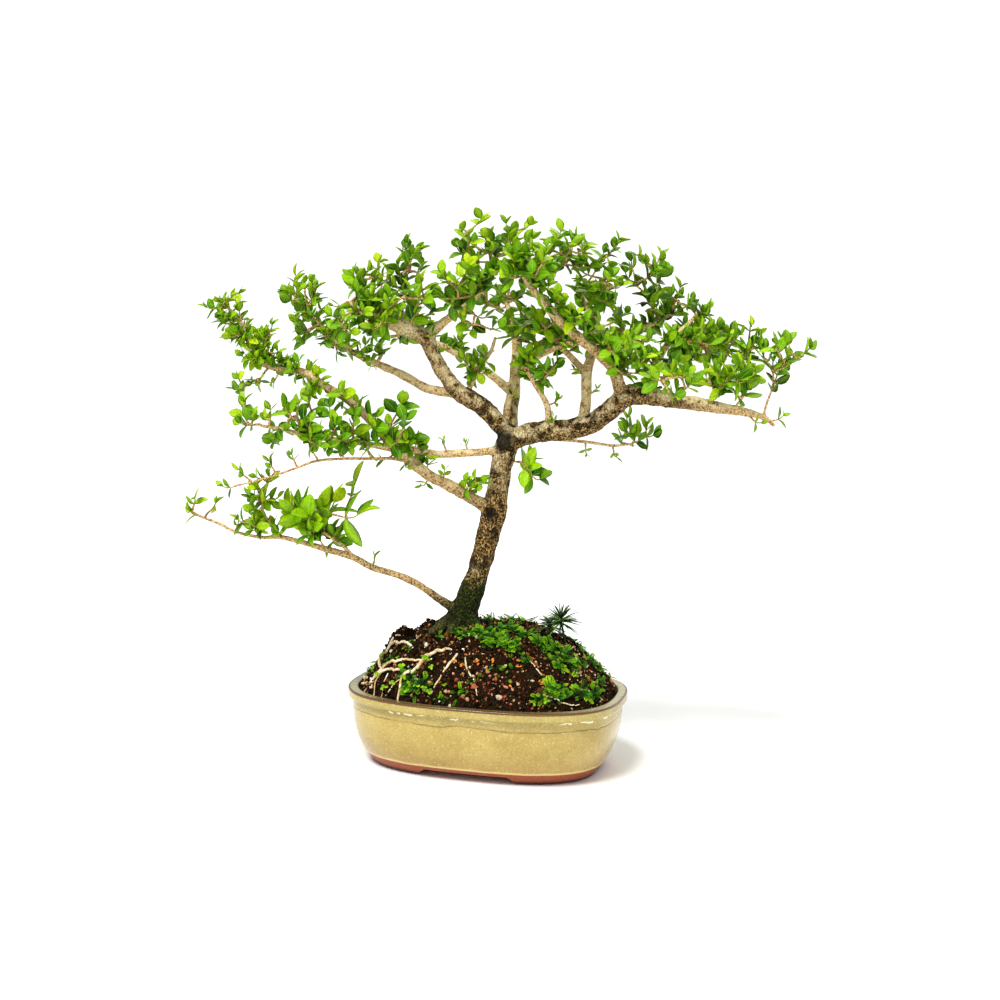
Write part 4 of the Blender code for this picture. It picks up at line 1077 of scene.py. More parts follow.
def bark_values(points, radius, upper, scar, pale):
    """What the bark reads at each point: its limb's girth, how much it faces up, its height on the
    tree, and how scarred and how pale it is."""
    girth = np.clip(radius / STOUT_RADIUS, 0, 1)
    level = np.clip((points[:, 2] - collar[2]) / BARK_RISE, 0, 1)
    return {"girth": girth, "upper": upper, "level": level, "scar": scar, "pale": pale}


def weathered(points, normals):
    """Pushes each point along its normal by swellings, ridges and grain, each a share of the limb's
    own girth, and raises the scars. Gives the new points and the values that the bark reads."""
    radius, _ = nearest_wood(points)
    swell = unevenness(points, 0.013, 50) * 0.10 + unevenness(points * (1, 1, 0.5), 0.0055, 51) * 0.085
    crust = unevenness(points * (1, 1, 0.6), 0.0026, 52) * 0.055 + unevenness(points, 0.0016, 53) * 0.03
    push = np.clip(radius, 0.001, STOUT_RADIUS) * (swell + crust)
    scar = np.zeros(len(points))
    pale = np.zeros(len(points))
    for x, y, z, reach, rise, darkness, paleness in SCARS:
        away = np.linalg.norm(points - collar - np.array([x, y, z]) * MM, axis=1)
        away = away * (1 + unevenness(points, 0.004, 54) * 0.3)
        near = np.exp(-((away / (reach * MM)) ** 2))
        push += near * rise * MM
        scar = np.maximum(scar, near * darkness)
        pale = np.maximum(pale, near * paleness)
    upper = np.clip(normals[:, 2] * 0.5 + 0.5, 0, 1)
    return points + normals * push[:, None], bark_values(points, radius, upper, scar, pale)


def wood_piece():
    thick, thin = limb_tubes()
    skin = fused_skin(thick, SKIN_SIZE)
    points, values = weathered(point_array(skin), point_array(skin, "normal"))
    faces = face_lists(skin)
    bpy.data.meshes.remove(skin)
    thin_points, thin_faces = joined_skins(thin)
    radius, _ = nearest_wood(thin_points)
    none = np.zeros(len(thin_points))
    slight = bark_values(thin_points, radius, none + 0.5, none, none)
    wander = np.stack([unevenness(thin_points, 0.003, 60 + k) for k in range(3)], axis=1)
    thin_points = thin_points + wander * 0.00015
    faces = faces + [tuple(np.asarray(face) + len(points)) for face in thin_faces]
    values = {label: np.concatenate([numbers, slight[label]]) for label, numbers in values.items()}
    return new_piece(
        "wood", np.concatenate([points, thin_points]), faces, bark_finish(), values=values
    )


wood = wood_piece()
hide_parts("trunk_and_branches")


# The bared roots ------------------------------------------------------------------------------
# Pale, washed roots that spill from the collar down the left of the mound, most of them lying half
# in the soil, with fine feeder roots between them.

# Each route: (x, y, lift, radius) in millimetres, from the pot's middle and above the ground
ROOTS = {
    "bold": [
        (-22, -49, -3, 0.9), (-24, -53, 1.5, 1.2), (-28, -56, 3.5, 1.5), (-35, -55, 3.5, 1.7),
        (-42, -59, 2.5, 1.9), (-47, -66, 2, 1.9), (-56, -67, 2.5, 1.7), (-60, -70, 2.5, 1.5),
        (-60, -76, 1, 1.2), (-61, -80, -1, 0.8),
    ],
    "upper_loop": [
        (-56, -48, -2, 0.9), (-61, -42, 1.5, 1.1), (-68, -36, 3, 1.2), (-77, -30, 3.5, 1.3),
        (-86, -27, 3, 1.4), (-93, -28, 1.5, 1.2), (-97, -30, -1, 0.8),
    ],
    "left_loop": [
        (-78, -22, -1, 0.9), (-85, -24, 2, 1.1), (-90, -30, 3.5, 1.3), (-92, -37, 3, 1.4),
        (-90, -45, 2, 1.3), (-84, -51, 1, 1.0), (-80, -56, -1, 0.7),
    ],
    "mid": [
        (-38, -63, -2, 0.8), (-43, -61, 0.5, 1.0), (-56, -59, 2.5, 1.2), (-69, -55, 3, 1.3),
        (-81, -52, 3, 1.3), (-89, -53, 2, 1.2), (-96, -50, -0.5, 0.8),
    ],
    "low": [
        (-56, -66, -1, 0.8), (-63, -63, 1.5, 1.0), (-75, -59, 2.5, 1.3), (-87, -56, 2.5, 1.3),
        (-97, -53, 1, 1.1), (-101, -48, -1, 0.7),
    ],
    "rim_side": [(-88, -58, -1, 0.9), (-98, -52, 2, 1.2), (-106, -44, 3, 1.2), (-110, -34, 1, 0.9)],
    "front": [(-14, -56, 1, 1.2), (-17, -64, 1.5, 1.1), (-23, -71, 1.5, 0.9), (-28, -77, 0, 0.7)],
    "front_fork": [(-6, -58, 0.5, 0.7), (-2, -66, 1.5, 0.8), (6, -72, 1, 0.7), (12, -79, 0, 0.5)],
    "strand_a": [(-76, -60, 1, 0.7), (-79, -66, 2, 0.7), (-77, -72, 1.5, 0.6), (-80, -77, 0, 0.5)],
    "strand_b": [(-84, -54, 1, 0.6), (-88, -62, 2, 0.6), (-86, -70, 1, 0.5)],
    "strand_c": [(-58, -68, 1, 0.6), (-68, -71, 2, 0.7), (-74, -74, 1, 0.5)],
    "strand_d": [(-94, -52, 1, 0.5), (-100, -58, 1.5, 0.6), (-99, -66, 0.5, 0.4)],
    "straw": [(70, -70, 1, 0.5), (80, -66, 2, 0.6), (92, -61, 3, 0.6), (97, -58, 5, 0.5)],
    "stick": [(112, 26, 2, 0.8), (108, 30, 7, 0.8), (106, 36, 13, 0.7)],
    "right_b": [(52, -52, 0, 0.5), (62, -58, 1.0, 0.5), (74, -60, 0, 0.4)],
    "back_a": [
        (-22, 30, -3, 1.4), (-16, 38, 2, 1.8), (-6, 46, 2.5, 1.8), (4, 52, 1.5, 1.5), (12, 58, -1, 1.0),
    ],
    "back_b": [
        (-50, 18, -3, 1.3), (-56, 26, 2, 1.7), (-66, 34, 2.5, 1.7), (-76, 42, 1.5, 1.4),
        (-84, 50, -1, 1.0),
    ],
}


def root_finish():
    """Washed, barkless root: ivory and straw with brown pores and soil in the creases."""
    finish, tree, shader = new_finish("bared_root", 0.6, gloss=0.25)
    place = object_place(tree)
    grain = clouds(tree, place, 700.0, detail=4.0)
    broad = clouds(tree, place, 110.0)
    colour = mottled(tree, broad, 0.38, 0.62, paint(206, 174, 122), paint(244, 232, 200))
    colour = washed(tree, colour, paint(120, 84, 44), ramp(tree, grain, 0.52, 0.66), 0.7)
    tree.links.new(colour, shader.inputs["Base Color"])
    relief(tree, shader, grain, 0.0005)
    return finish


def root_tubes():
    skins = []
    for route in ROOTS.values():
        line = smooth_route(route, 8) * MM
        line[:, 2] += ground_height(line[:, 0], line[:, 1])
        girth = line[:, 3] * (1 + unevenness(line[:, :3], 0.006, 70) * 0.18)
        wander = np.stack([unevenness(line[:, :3], 0.008, 71 + k) for k in range(2)], axis=1) * 0.0008
        line[:, :2] += wander
        skins.append(tube_skin(line[:, :3], girth, 9))
    return skins


root_points, root_faces = joined_skins(root_tubes())
bared_roots = new_piece("bared_roots", root_points, root_faces, root_finish())


# The leaves -----------------------------------------------------------------------------------
# Small, thick, blunt leaves in opposite pairs on springy green-brown shoots. Each cluster fills its
# own space on the frame, and its shoots start from the nearest wood. Old leaves are deep green; the
# newest, at the tips and on top, are yellow-green.

LEAF_LENGTH = 0.0150
LEAF_SHARE = 0.66
BIG_LEAF_SHARE = 0.52
BIG_LEAF = 0.021
LEAF_GAP = 0.0062
GOLDEN_TURN = 2.39996
SPRIG_LEAF_SCALE = 0.00125
SHOOT_RADIUS = 0.0010
LEAF_ROWS = (0.0, 0.10, 0.30, 0.54, 0.77, 0.93, 1.0)
LEAF_WIDTHS = (0.0, 0.36, 0.86, 1.0, 0.72, 0.32, 0.0)
# Clusters unlike the rest: (leaf length in metres, shoots, freshness from 0 to 1)
CLUSTER_KINDS = {
    "low_big_leaves": (0.0300, 3, 0.72),
    "low_spur": (0.0230, 8, 0.60),
    "low_shoot": (0.0125, 10, 0.62),
    "low_tip": (0.0130, 3, 0.70),
    "left_low_inner": (0.0185, 8, 0.44),
    "left_low_mid": (0.0165, 8, 0.45),
    "left_low": (0.0155, 8, 0.50),
    "left_low_tip": (0.0135, 6, 0.55),
    "left_tip": (0.0115, 10, 0.66),
    "left_spray": (0.0120, 12, 0.60),
    "left_column": (0.0145, 13, 0.52),
    "left_column_top": (0.0140, 13, 0.52),
    "left_twig": (0.0120, 3, 0.55),
    "upper_left_tip": (0.0140, 9, 0.45),
    "upper_left_inner": (0.0155, 11, 0.50),
    "top_right_tip": (0.0140, 2, 0.50),
    "top_left": (0.0150, 14, 0.55),
    "top_peak": (0.0150, 11, 0.55),
    "top_right": (0.0155, 16, 0.52),
    "top_mid": (0.0165, 12, 0.55),
    "centre_left": (0.0160, 11, 0.55),
    "centre_low_left": (0.0150, 4, 0.48),
    "centre": (0.0165, 15, 0.55),
    "centre_low": (0.0155, 6, 0.50),
    "right_top": (0.0155, 9, 0.50),
    "right_top_tip": (0.0155, 8, 0.45),
    "right_back": (0.0150, 9, 0.42),
    "right_front": (0.0165, 10, 0.52),
    "right_far_front": (0.0190, 16, 0.56),
    "right_far": (0.0165, 14, 0.56),
    "right_tip": (0.0165, 10, 0.52),
    "trunk_sprout_right": (0.0205, 3, 0.50),
    "trunk_sprout_left": (0.0120, 5, 0.50),
    "inner_shoot": (0.0130, 4, 0.55),
    "under_right": (0.0160, 7, 0.52),
    "upper_left_mid": (0.0155, 16, 0.52),
    "upper_left_top": (0.0150, 17, 0.52),
    "right_mid": (0.0160, 20, 0.52),
    "right_inner": (0.0155, 16, 0.50),
    "back_left": (0.0150, 15, 0.42),
    "back_mid": (0.0150, 14, 0.42),
    "back_right": (0.0150, 6, 0.42),
    "back_far_right": (0.0150, 17, 0.42),
}
PLAIN_KIND = (LEAF_LENGTH, 21, 0.52)
# Short spurs of leaves on the limbs themselves: (first and last part of the limb that bears them,
# metres between spurs, leaf length, freshness)
LEAFY_LIMBS = {
    "front_arch": (0.26, 1.0, 0.0165, 0.0155, 0.52),
    "rear_riser": (0.50, 1.0, 0.0220, 0.0150, 0.45),
    "riser_fork": (0.55, 1.0, 0.0160, 0.0140, 0.50),
    "riser_right": (0.30, 1.0, 0.0200, 0.0150, 0.45),
    "small_riser": (0.70, 1.0, 0.0140, 0.0140, 0.52),
    "right_riser": (0.30, 1.0, 0.0220, 0.0150, 0.50),
    "right_back": (0.20, 1.0, 0.0220, 0.0150, 0.45),
    "left_limb": (0.78, 1.0, 0.0150, 0.0145, 0.52),
    "left_upper": (0.35, 1.0, 0.0180, 0.0150, 0.52),
    "left_second": (0.52, 1.0, 0.0150, 0.0135, 0.52),
    "left_lower": (0.60, 1.0, 0.0135, 0.0130, 0.56),
    "left_horizontal": (0.30, 1.0, 0.0200, 0.0130, 0.52),
    "back_limb": (0.70, 1.0, 0.0220, 0.0145, 0.42),
    "back_left": (0.55, 1.0, 0.0220, 0.0145, 0.42),
    "back_right": (0.60, 1.0, 0.0240, 0.0145, 0.42),
    "inner_shoot": (0.25, 0.7, 0.0150, 0.0130, 0.55),
    "low_shoot": (0.05, 1.0, 0.0120, 0.0135, 0.60),
    "low_spur": (0.50, 1.0, 0.0150, 0.0180, 0.52),
}
# Sprigs on the bare wood: (x, y, z of the foot, x, y, z of the tip, leaf length), all in millimetres
# from the collar
SPRIGS = (
    (-31, -50, 152, -36, -56, 168, 9), (-30, -50, 156, -24, -52, 170, 9),
    (-46, -62, 164, -42, -66, 176, 8), (-40, -60, 158, -54, -70, 152, 8),
    (-6, -26, 158, -8, -30, 168, 6), (10, -12, 158, 8, -14, 166, 6), (-62, -67, 186, -70, -72, 172, 8),
    (-36, -56, 156, -30, -64, 146, 9), (-18, -34, 137, -24, -40, 128, 8),
    (-10, -24, 130, -6, -30, 142, 8), (-100, -95, 152, -104, -100, 162, 8),
    (-114, -107, 146, -118, -108, 156, 8), (-130, -113, 139, -136, -114, 150, 9),
    (-150, -120, 133, -160, -122, 142, 10), (-158, -124, 130, -172, -128, 128, 10),
    (-58, -76, 153, -62, -80, 164, 7), (-78, -88, 153, -84, -92, 163, 8), (84, 14, 178, 82, 8, 190, 7),
    (104, 48, 166, 106, 46, 156, 7), (128, 56, 163, 132, 52, 154, 8), (86, 40, 168, 88, 38, 176, 6),
    (66, 3, 219, 58, -2, 232, 9), (76, 11, 200, 86, 8, 206, 8), (60, -1, 230, 52, -8, 240, 10),
    (107, 32, 209, 116, 30, 216, 8), (104, 44, 228, 94, 40, 232, 8), (38, 18, 204, 44, 16, 212, 6),
    (-63, -40, 240, -70, -46, 232, 8), (-29, -21, 255, -20, -28, 262, 8), (136, 3, 231, 146, -2, 236, 9),
    (112, -21, 258, 102, -28, 252, 9), (-100, -75, 72, -104, -82, 84, 9),
    (-63, -55, 57, -60, -58, 66, 7), (-178, -92, 86, -172, -98, 96, 9), (250, 44, 197, 262, 40, 190, 9),
    (268, 60, 190, 280, 58, 196, 9), (-120, -75, 224, -112, -80, 214, 9),
    (-144, -76, 226, -150, -82, 216, 9), (-93, -46, 288, -104, -52, 284, 9),
    (-118, -12, 252, -112, -18, 242, 9), (43, 36, 236, 44, 40, 248, 9),
)
WHIP = (
    (-30, -48, 149, 1.6), (-44, -64, 153, 1.4), (-57, -76, 153, 1.3), (-78, -88, 153, 1.2),
    (-99, -99, 151, 1.1), (-114, -107, 145, 1.0), (-129, -113, 139, 0.9), (-144, -119, 134, 0.8),
    (-158, -124, 130, 0.6),
)


def leaf_faces():
    """One leaf's faces: a pole at each end, five cross rows of five points on top, and one point
    under the middle of each row, so that the underside shares the leaf's margins."""
    faces = []
    rows = len(LEAF_ROWS) - 2
    tip = rows * 6 + 1
    for side in range(4):
        faces.append((0, 1 + side + 1, 1 + side))
        last = 1 + (rows - 1) * 6
        faces.append((tip, last + side, last + side + 1))
    for row in range(rows - 1):
        here = 1 + row * 6
        there = here + 6
        for side in range(4):
            faces.append((here + side, here + side + 1, there + side + 1, there + side))
        faces.append((here + 5, here, there, there + 5))
        faces.append((here + 4, here + 5, there + 5, there + 4))
    last = 1 + (rows - 1) * 6
    faces += [(0, 1, 6), (0, 6, 5), (tip, last + 5, last), (tip, last + 4, last + 5)]
    return faces


LEAF_FACES = leaf_faces()
LEAF_ACROSS = np.array([0.0, *([-1.0, -0.5, 0.0, 0.5, 1.0, 0.0] * 5), 0.0])
LEAF_ALONG = np.array([0.0, *np.repeat(LEAF_ROWS[1:-1], 6), 1.0])
LEAF_HALF = np.array([0.0, *np.repeat(LEAF_WIDTHS[1:-1], 6), 0.0])
LEAF_UNDER = np.array([0.0, *([0.0, 0.0, 0.0, 0.0, 0.0, 1.0] * 5), 0.0])


def set_out(foot, x, y, z, side, forward, face):
    """Each blade's own x, y and z, turned to its three directions and moved to its foot."""
    flat = x[..., None] * side[:, None] + y[..., None] * forward[:, None]
    return foot[:, None] + flat + z[..., None] * face[:, None]


def leaf_points(foot, forward, face, length, width, fold, droop):
    """Every leaf at once. Along the blade y = length * v; across it x = half width * u; the halves
    rise by fold * |x|, the tip falls by droop * length * v^2, and the underside is set a little
    below. The blade is then turned to its own forward and face directions."""
    side = np.cross(forward, face)
    x = LEAF_ACROSS[None] * LEAF_HALF[None] * (width / 2)[:, None]
    y = LEAF_ALONG[None] * length[:, None]
    z = fold[:, None] * np.abs(x) - droop[:, None] * length[:, None] * LEAF_ALONG[None] ** 2
    z = z - LEAF_UNDER[None] * 0.00035 * (length / 0.015)[:, None]
    y = y * (1 - 0.12 * droop[:, None] * LEAF_ALONG[None])
    return set_out(foot, x, y, z, side, forward, face)


def unit(vectors):
    return vectors / (np.linalg.norm(vectors, axis=-1, keepdims=True) + 1e-12)


def shoot_line(foot, tip, lean, steps=9):
    """A cubic that leaves the wood along the lean and comes to its tip turning upwards."""
    reach = np.linalg.norm(tip - foot)
    t = np.linspace(0, 1, steps)[:, None]
    first = foot + (lean * 0.5 + unit(tip - foot) * 0.5) * reach * 0.35
    rise = unit(unit(tip - foot) * 0.6 + np.array([0, 0, 0.5]))
    second = tip - rise * reach * 0.35
    return foot * (1 - t) ** 3 + 3 * first * t * (1 - t) ** 2 + 3 * second * t**2 * (1 - t) + tip * t**3


def grown_shoots(centre, half, count, chance):
    """Tips spread evenly over the outer part of the cluster's oval, nearest the wood first; each
    shoot starts at the closest point of the wood or of an older shoot."""
    turn = np.arange(count) * GOLDEN_TURN + chance.uniform(0, 6.28)
    rise = 1 - 2 * (np.arange(count) + 0.5) / count
    flat = np.sqrt(1 - rise**2)
    spread = np.stack([flat * np.cos(turn), flat * np.sin(turn), rise], axis=1)
    spread = spread * chance.uniform(0.45, 0.90, (count, 1)) + chance.normal(0, 0.08, (count, 3))
    tips = centre + half * spread
    near = np.linalg.norm((wood_line[:, :3] - centre) / (half * 1.3), axis=1)
    anchors = wood_line[near < max(1.0, near.min() * 1.15), :3]
    order = np.argsort([np.linalg.norm(anchors - tip, axis=1).min() for tip in tips])
    lines = []
    for tip in tips[order]:
        gap = np.linalg.norm(anchors - tip, axis=1) + 0.7 * np.clip(anchors[:, 2] - tip[2], 0, None)
        foot = anchors[np.argmin(gap + (gap < 0.007) * 0.01)]
        lean = unit(chance.normal(0, 0.5, 3) + np.array([0, 0, 0.5]))
        line = shoot_line(foot, tip, lean)
        lines.append(line)
        anchors = np.concatenate([anchors, line[3:6]])
    return lines


def leaves_on(lines, length, freshness, chance, centre, half):
    """Opposite pairs up each shoot, every pair a quarter turn from the last, getting shorter and
    fresher towards the tip, and a small bunch at the end."""
    feet, forwards, faces, lengths, tones = [], [], [], [], []
    for line in lines:
        run = np.concatenate([[0], np.cumsum(np.linalg.norm(np.diff(line, axis=0), axis=1))])
        reach = run[-1]
        gap = LEAF_GAP * (length / LEAF_LENGTH) ** 0.7 * chance.uniform(0.85, 1.2)
        pairs = int(np.clip(reach * 0.75 / gap, 2, 5))
        at = reach - gap * np.arange(pairs)
        at[0] = reach * 0.995
        spot = np.stack([np.interp(at, run, line[:, axis]) for axis in range(3)], axis=1)
        ahead = np.stack([np.interp(at + 0.001, run, line[:, axis]) for axis in range(3)], axis=1)
        behind = np.stack([np.interp(at - 0.002, run, line[:, axis]) for axis in range(3)], axis=1)
        heading = unit(ahead - behind)
        spin = chance.uniform(0, 3.14) + np.arange(pairs) * np.pi / 2 + chance.normal(0, 0.25, pairs)
        axes = turned_frames(heading, spin)
        for hand in (-1, 1):
            side = axes[:, 0] * hand
            splay = np.clip(chance.normal(1.0, 0.2, pairs) - (np.arange(pairs) == 0) * 0.35, 0.3, 1.4)
            forward = unit(
                heading * np.cos(splay)[:, None] + side * np.sin(splay)[:, None] + np.array([0, 0, 0.18])
            )
            outward = unit(spot - crown_middle)
            outward[:, 2] = np.maximum(outward[:, 2], -0.1)
            up = unit(
                heading * 0.3 + outward * 1.0 + np.array([0, 0, 0.5]) + chance.normal(0, 0.42, (pairs, 3))
            )
            face = unit(up - forward * np.sum(up * forward, axis=1, keepdims=True))
            age = np.arange(pairs) / 4
            size = length * chance.uniform(0.78, 1.12, pairs) * np.where(np.arange(pairs) == 0, 0.78, 1.0)
            feet.append(spot)
            forwards.append(forward)
            faces.append(face)
            lengths.append(size)
            level = (spot[:, 2] - centre[2]) / half[2]
            tones.append(freshness + 0.16 * level - 0.18 * age + 0.14 + chance.normal(0, 0.17, pairs))
    feet, forwards, faces = (np.concatenate(part) for part in (feet, forwards, faces))
    return feet, forwards, faces, np.concatenate(lengths), np.clip(np.concatenate(tones), 0.02, 1)


def leaf_finish():
    """Waxy leaf: deep green to yellow-green by its own tone, with a pale midrib and side veins,
    a thin bright margin, and a dull, paler underside."""
    finish, tree, shader = new_finish("leaf", 0.38)
    shader.inputs["Specular IOR Level"].default_value = 0.28
    shades = (
        (0.0, (3, 30, 0)), (0.25, (25, 86, 0)), (0.5, (100, 158, 0)), (0.75, (152, 198, 2)),
        (1.0, (196, 222, 18)),
    )
    tone = toned(tree, "tone", shades)
    blade = tree.nodes.new("ShaderNodeUVMap")
    blade.uv_map = "blade"
    parts = tree.nodes.new("ShaderNodeSeparateXYZ")
    tree.links.new(blade.outputs["UV"], parts.inputs[0])
    across = worked(tree, "ABSOLUTE", worked(tree, "SUBTRACT", parts.outputs["X"], 0.5))
    along = parts.outputs["Y"]
    blotch = clouds(tree, object_place(tree), 420.0, detail=4.0)
    colour = washed(tree, tone, paint(26, 80, 4), ramp(tree, blotch, 0.42, 0.66), 0.35)
    colour = washed(tree, colour, paint(160, 206, 16), ramp(tree, along, 0.45, 1.0), 0.2)
    slant = worked(tree, "SUBTRACT", times(tree, along, 8.0), times(tree, across, 5.0))
    off_vein = worked(tree, "SUBTRACT", worked(tree, "FRACT", slant), 0.5)
    vein = ramp(tree, worked(tree, "ABSOLUTE", off_vein), 0.12, 0.02)
    colour = washed(tree, colour, paint(168, 208, 64), vein, 0.22)
    midrib = ramp(tree, across, 0.045, 0.012)
    colour = washed(tree, colour, paint(188, 216, 84), midrib, 0.6)
    margin = ramp(tree, across, 0.43, 0.49)
    colour = washed(tree, colour, paint(170, 206, 44), margin, 0.4)
    under = point_value(tree, "under")
    colour = washed(tree, colour, paint(150, 182, 48), ramp(tree, under, 0.2, 0.8), 0.4)
    tree.links.new(colour, shader.inputs["Base Color"])
    shine = plus(tree, times(tree, blotch, 0.25), times(tree, under, 0.35))
    tree.links.new(plus(tree, shine, 0.24), shader.inputs["Roughness"])
    ribs = worked(tree, "SUBTRACT", times(tree, blotch, 0.5), plus(tree, midrib, times(tree, vein, 0.5)))
    relief(tree, shader, ribs, 0.0004, 0.7)
    return finish


def leaf_piece(name, feet, forwards, faces, lengths, tones, chance, share=LEAF_SHARE):
    """All the leaves of one cluster as one piece, with each leaf's tone and its blade map. The
    biggest leaves are narrower for their length."""
    count = len(feet)
    share = np.where(lengths > BIG_LEAF, BIG_LEAF_SHARE, share)
    width = lengths * share * chance.uniform(0.85, 1.15, count)
    fold = chance.uniform(0.08, 0.5, count)
    droop = chance.uniform(-0.08, 0.30, count)
    points = leaf_points(feet, forwards, faces, lengths, width, fold, droop)
    each = len(LEAF_ACROSS)
    offsets = np.arange(count) * each
    all_faces = [tuple(np.asarray(face) + offset) for offset in offsets for face in LEAF_FACES]
    values = {"tone": np.repeat(tones, each), "under": np.tile(LEAF_UNDER, count)}
    piece = new_piece(name, points.reshape(-1, 3), all_faces, leaf_green, values=values)
    corners = np.empty(len(piece.data.loops), np.int32)
    piece.data.loops.foreach_get("vertex_index", corners)
    blade = np.stack([LEAF_ACROSS * 0.5 + 0.5, LEAF_ALONG], axis=1)
    layer = piece.data.uv_layers.new(name="blade")
    layer.data.foreach_set("uv", blade[corners % each].astype(np.float32).ravel())
    return piece


def shoot_finish():
    """Young shoot: green at the growing end, tan where the skin has ripened."""
    finish, tree, shader = new_finish("young_shoot", 0.6, gloss=0.25)
    place = object_place(tree)
    grain = clouds(tree, place, 900.0)
    ripe = mottled(tree, grain, 0.4, 0.62, paint(140, 94, 50), paint(230, 194, 140))
    colour = washed(tree, ripe, paint(136, 158, 52), ramp(tree, point_value(tree, "green"), 0.65, 1.0))
    tree.links.new(colour, shader.inputs["Base Color"])
    relief(tree, shader, grain, 0.0002)
    return finish


leaf_green = leaf_finish()
crown_middle = collar + np.array([0.03, 0.03, 0.21])
shoot_skins = []
shoot_greens = []


def keep_shoots(lines, thick=1.0):
    """Adds a tube for each shoot, tapering to half, and how green each of its points is."""
    for line in lines:
        girth = np.linspace(SHOOT_RADIUS * 1.25, SHOOT_RADIUS * 0.6, len(line)) * thick
        points, faces = tube_skin(line, girth, 5)
        shoot_skins.append((points, faces))
        along = np.linspace(0, 1, len(line))
        shoot_greens.append(np.concatenate([np.repeat(along, 5), [0.0, 1.0]]))


clusters = sorted(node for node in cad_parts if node.startswith("foliage_"))
for number, node in enumerate(clusters):
    chance = np.random.default_rng(500 + number)
    low, high = (np.array(corner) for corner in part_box(node))
    centre = (low + high) / 2
    half = (high - low) / 2
    length, shoots, freshness = CLUSTER_KINDS.get(node.removeprefix("foliage_"), PLAIN_KIND)
    lines = grown_shoots(centre, half, shoots, chance)
    keep_shoots(lines)
    grown = leaves_on(lines, length, freshness, chance, centre, half)
    leaves = leaf_piece(node.replace("foliage", "leaves"), *grown, chance)
    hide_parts(node)

for number, (limb, (start, stop, spacing, length, freshness)) in enumerate(LEAFY_LIMBS.items()):
    chance = np.random.default_rng(800 + number)
    route = limb_routes[limb][:, :3]
    run = np.concatenate([[0], np.cumsum(np.linalg.norm(np.diff(route, axis=0), axis=1))])
    along = np.arange(start * run[-1], stop * run[-1], spacing)
    spots = np.stack([np.interp(along, run, route[:, axis]) for axis in range(3)], axis=1)
    grown = []
    for spot in spots:
        half = np.array([0.012, 0.012, 0.009]) * chance.uniform(0.8, 1.25)
        outward = unit(spot - crown_middle) * np.array([0.7, 0.7, 0.3])
        out = unit(chance.normal(0, 0.5, 3) + outward + np.array([0, 0, 0.6]))
        centre = spot + out * 0.011
        lines = grown_shoots(centre, half, int(chance.integers(3, 6)), chance)
        keep_shoots(lines, 0.9)
        grown.append(leaves_on(lines, length, freshness, chance, centre, half))
    grown = [np.concatenate([part[k] for part in grown]) for k in range(5)]
    leaf_piece(f"leaves_on_{limb}", *grown, chance)

chance = np.random.default_rng(700)
sprig_parts = []
for x, y, z, tip_x, tip_y, tip_z, size in SPRIGS:
    foot = collar + np.array([x, y, z]) * MM
    tip = collar + np.array([tip_x, tip_y, tip_z]) * MM
    line = shoot_line(foot, tip, unit(tip - foot), steps=6)
    keep_shoots([line], 0.8)
    sprig_parts.append(leaves_on([line], size * SPRIG_LEAF_SCALE, 0.55, chance, tip, np.full(3, 0.02)))
sprigs = [np.concatenate([part[k] for part in sprig_parts]) for k in range(5)]
sprig_leaves = leaf_piece("sprig_leaves", *sprigs, chance, share=0.42)

whip_line = smooth_route(WHIP, 6) * MM + np.array([*collar, 0.0])
whip_points, whip_faces = tube_skin(whip_line[:, :3], whip_line[:, 3], 7)
shoot_skins.append((whip_points, whip_faces))
shoot_greens.append(np.full(len(whip_points), 0.1))
shoot_points, shoot_faces = joined_skins(shoot_skins)
shoot_values = {"green": np.concatenate(shoot_greens)}
young_shoots = new_piece(
    "young_shoots", shoot_points, shoot_faces, shoot_finish(), values=shoot_values
)


# The ground greens ----------------------------------------------------------------------------
# Spikemoss in bright flat fronds over the crown of the mound and down its right side, with clovers
# on the left and a few fallen leaves. Each frond is a stem with leaflets on both sides.

FROND_LEAFLETS = 7
FROND_SCALE = 0.00085
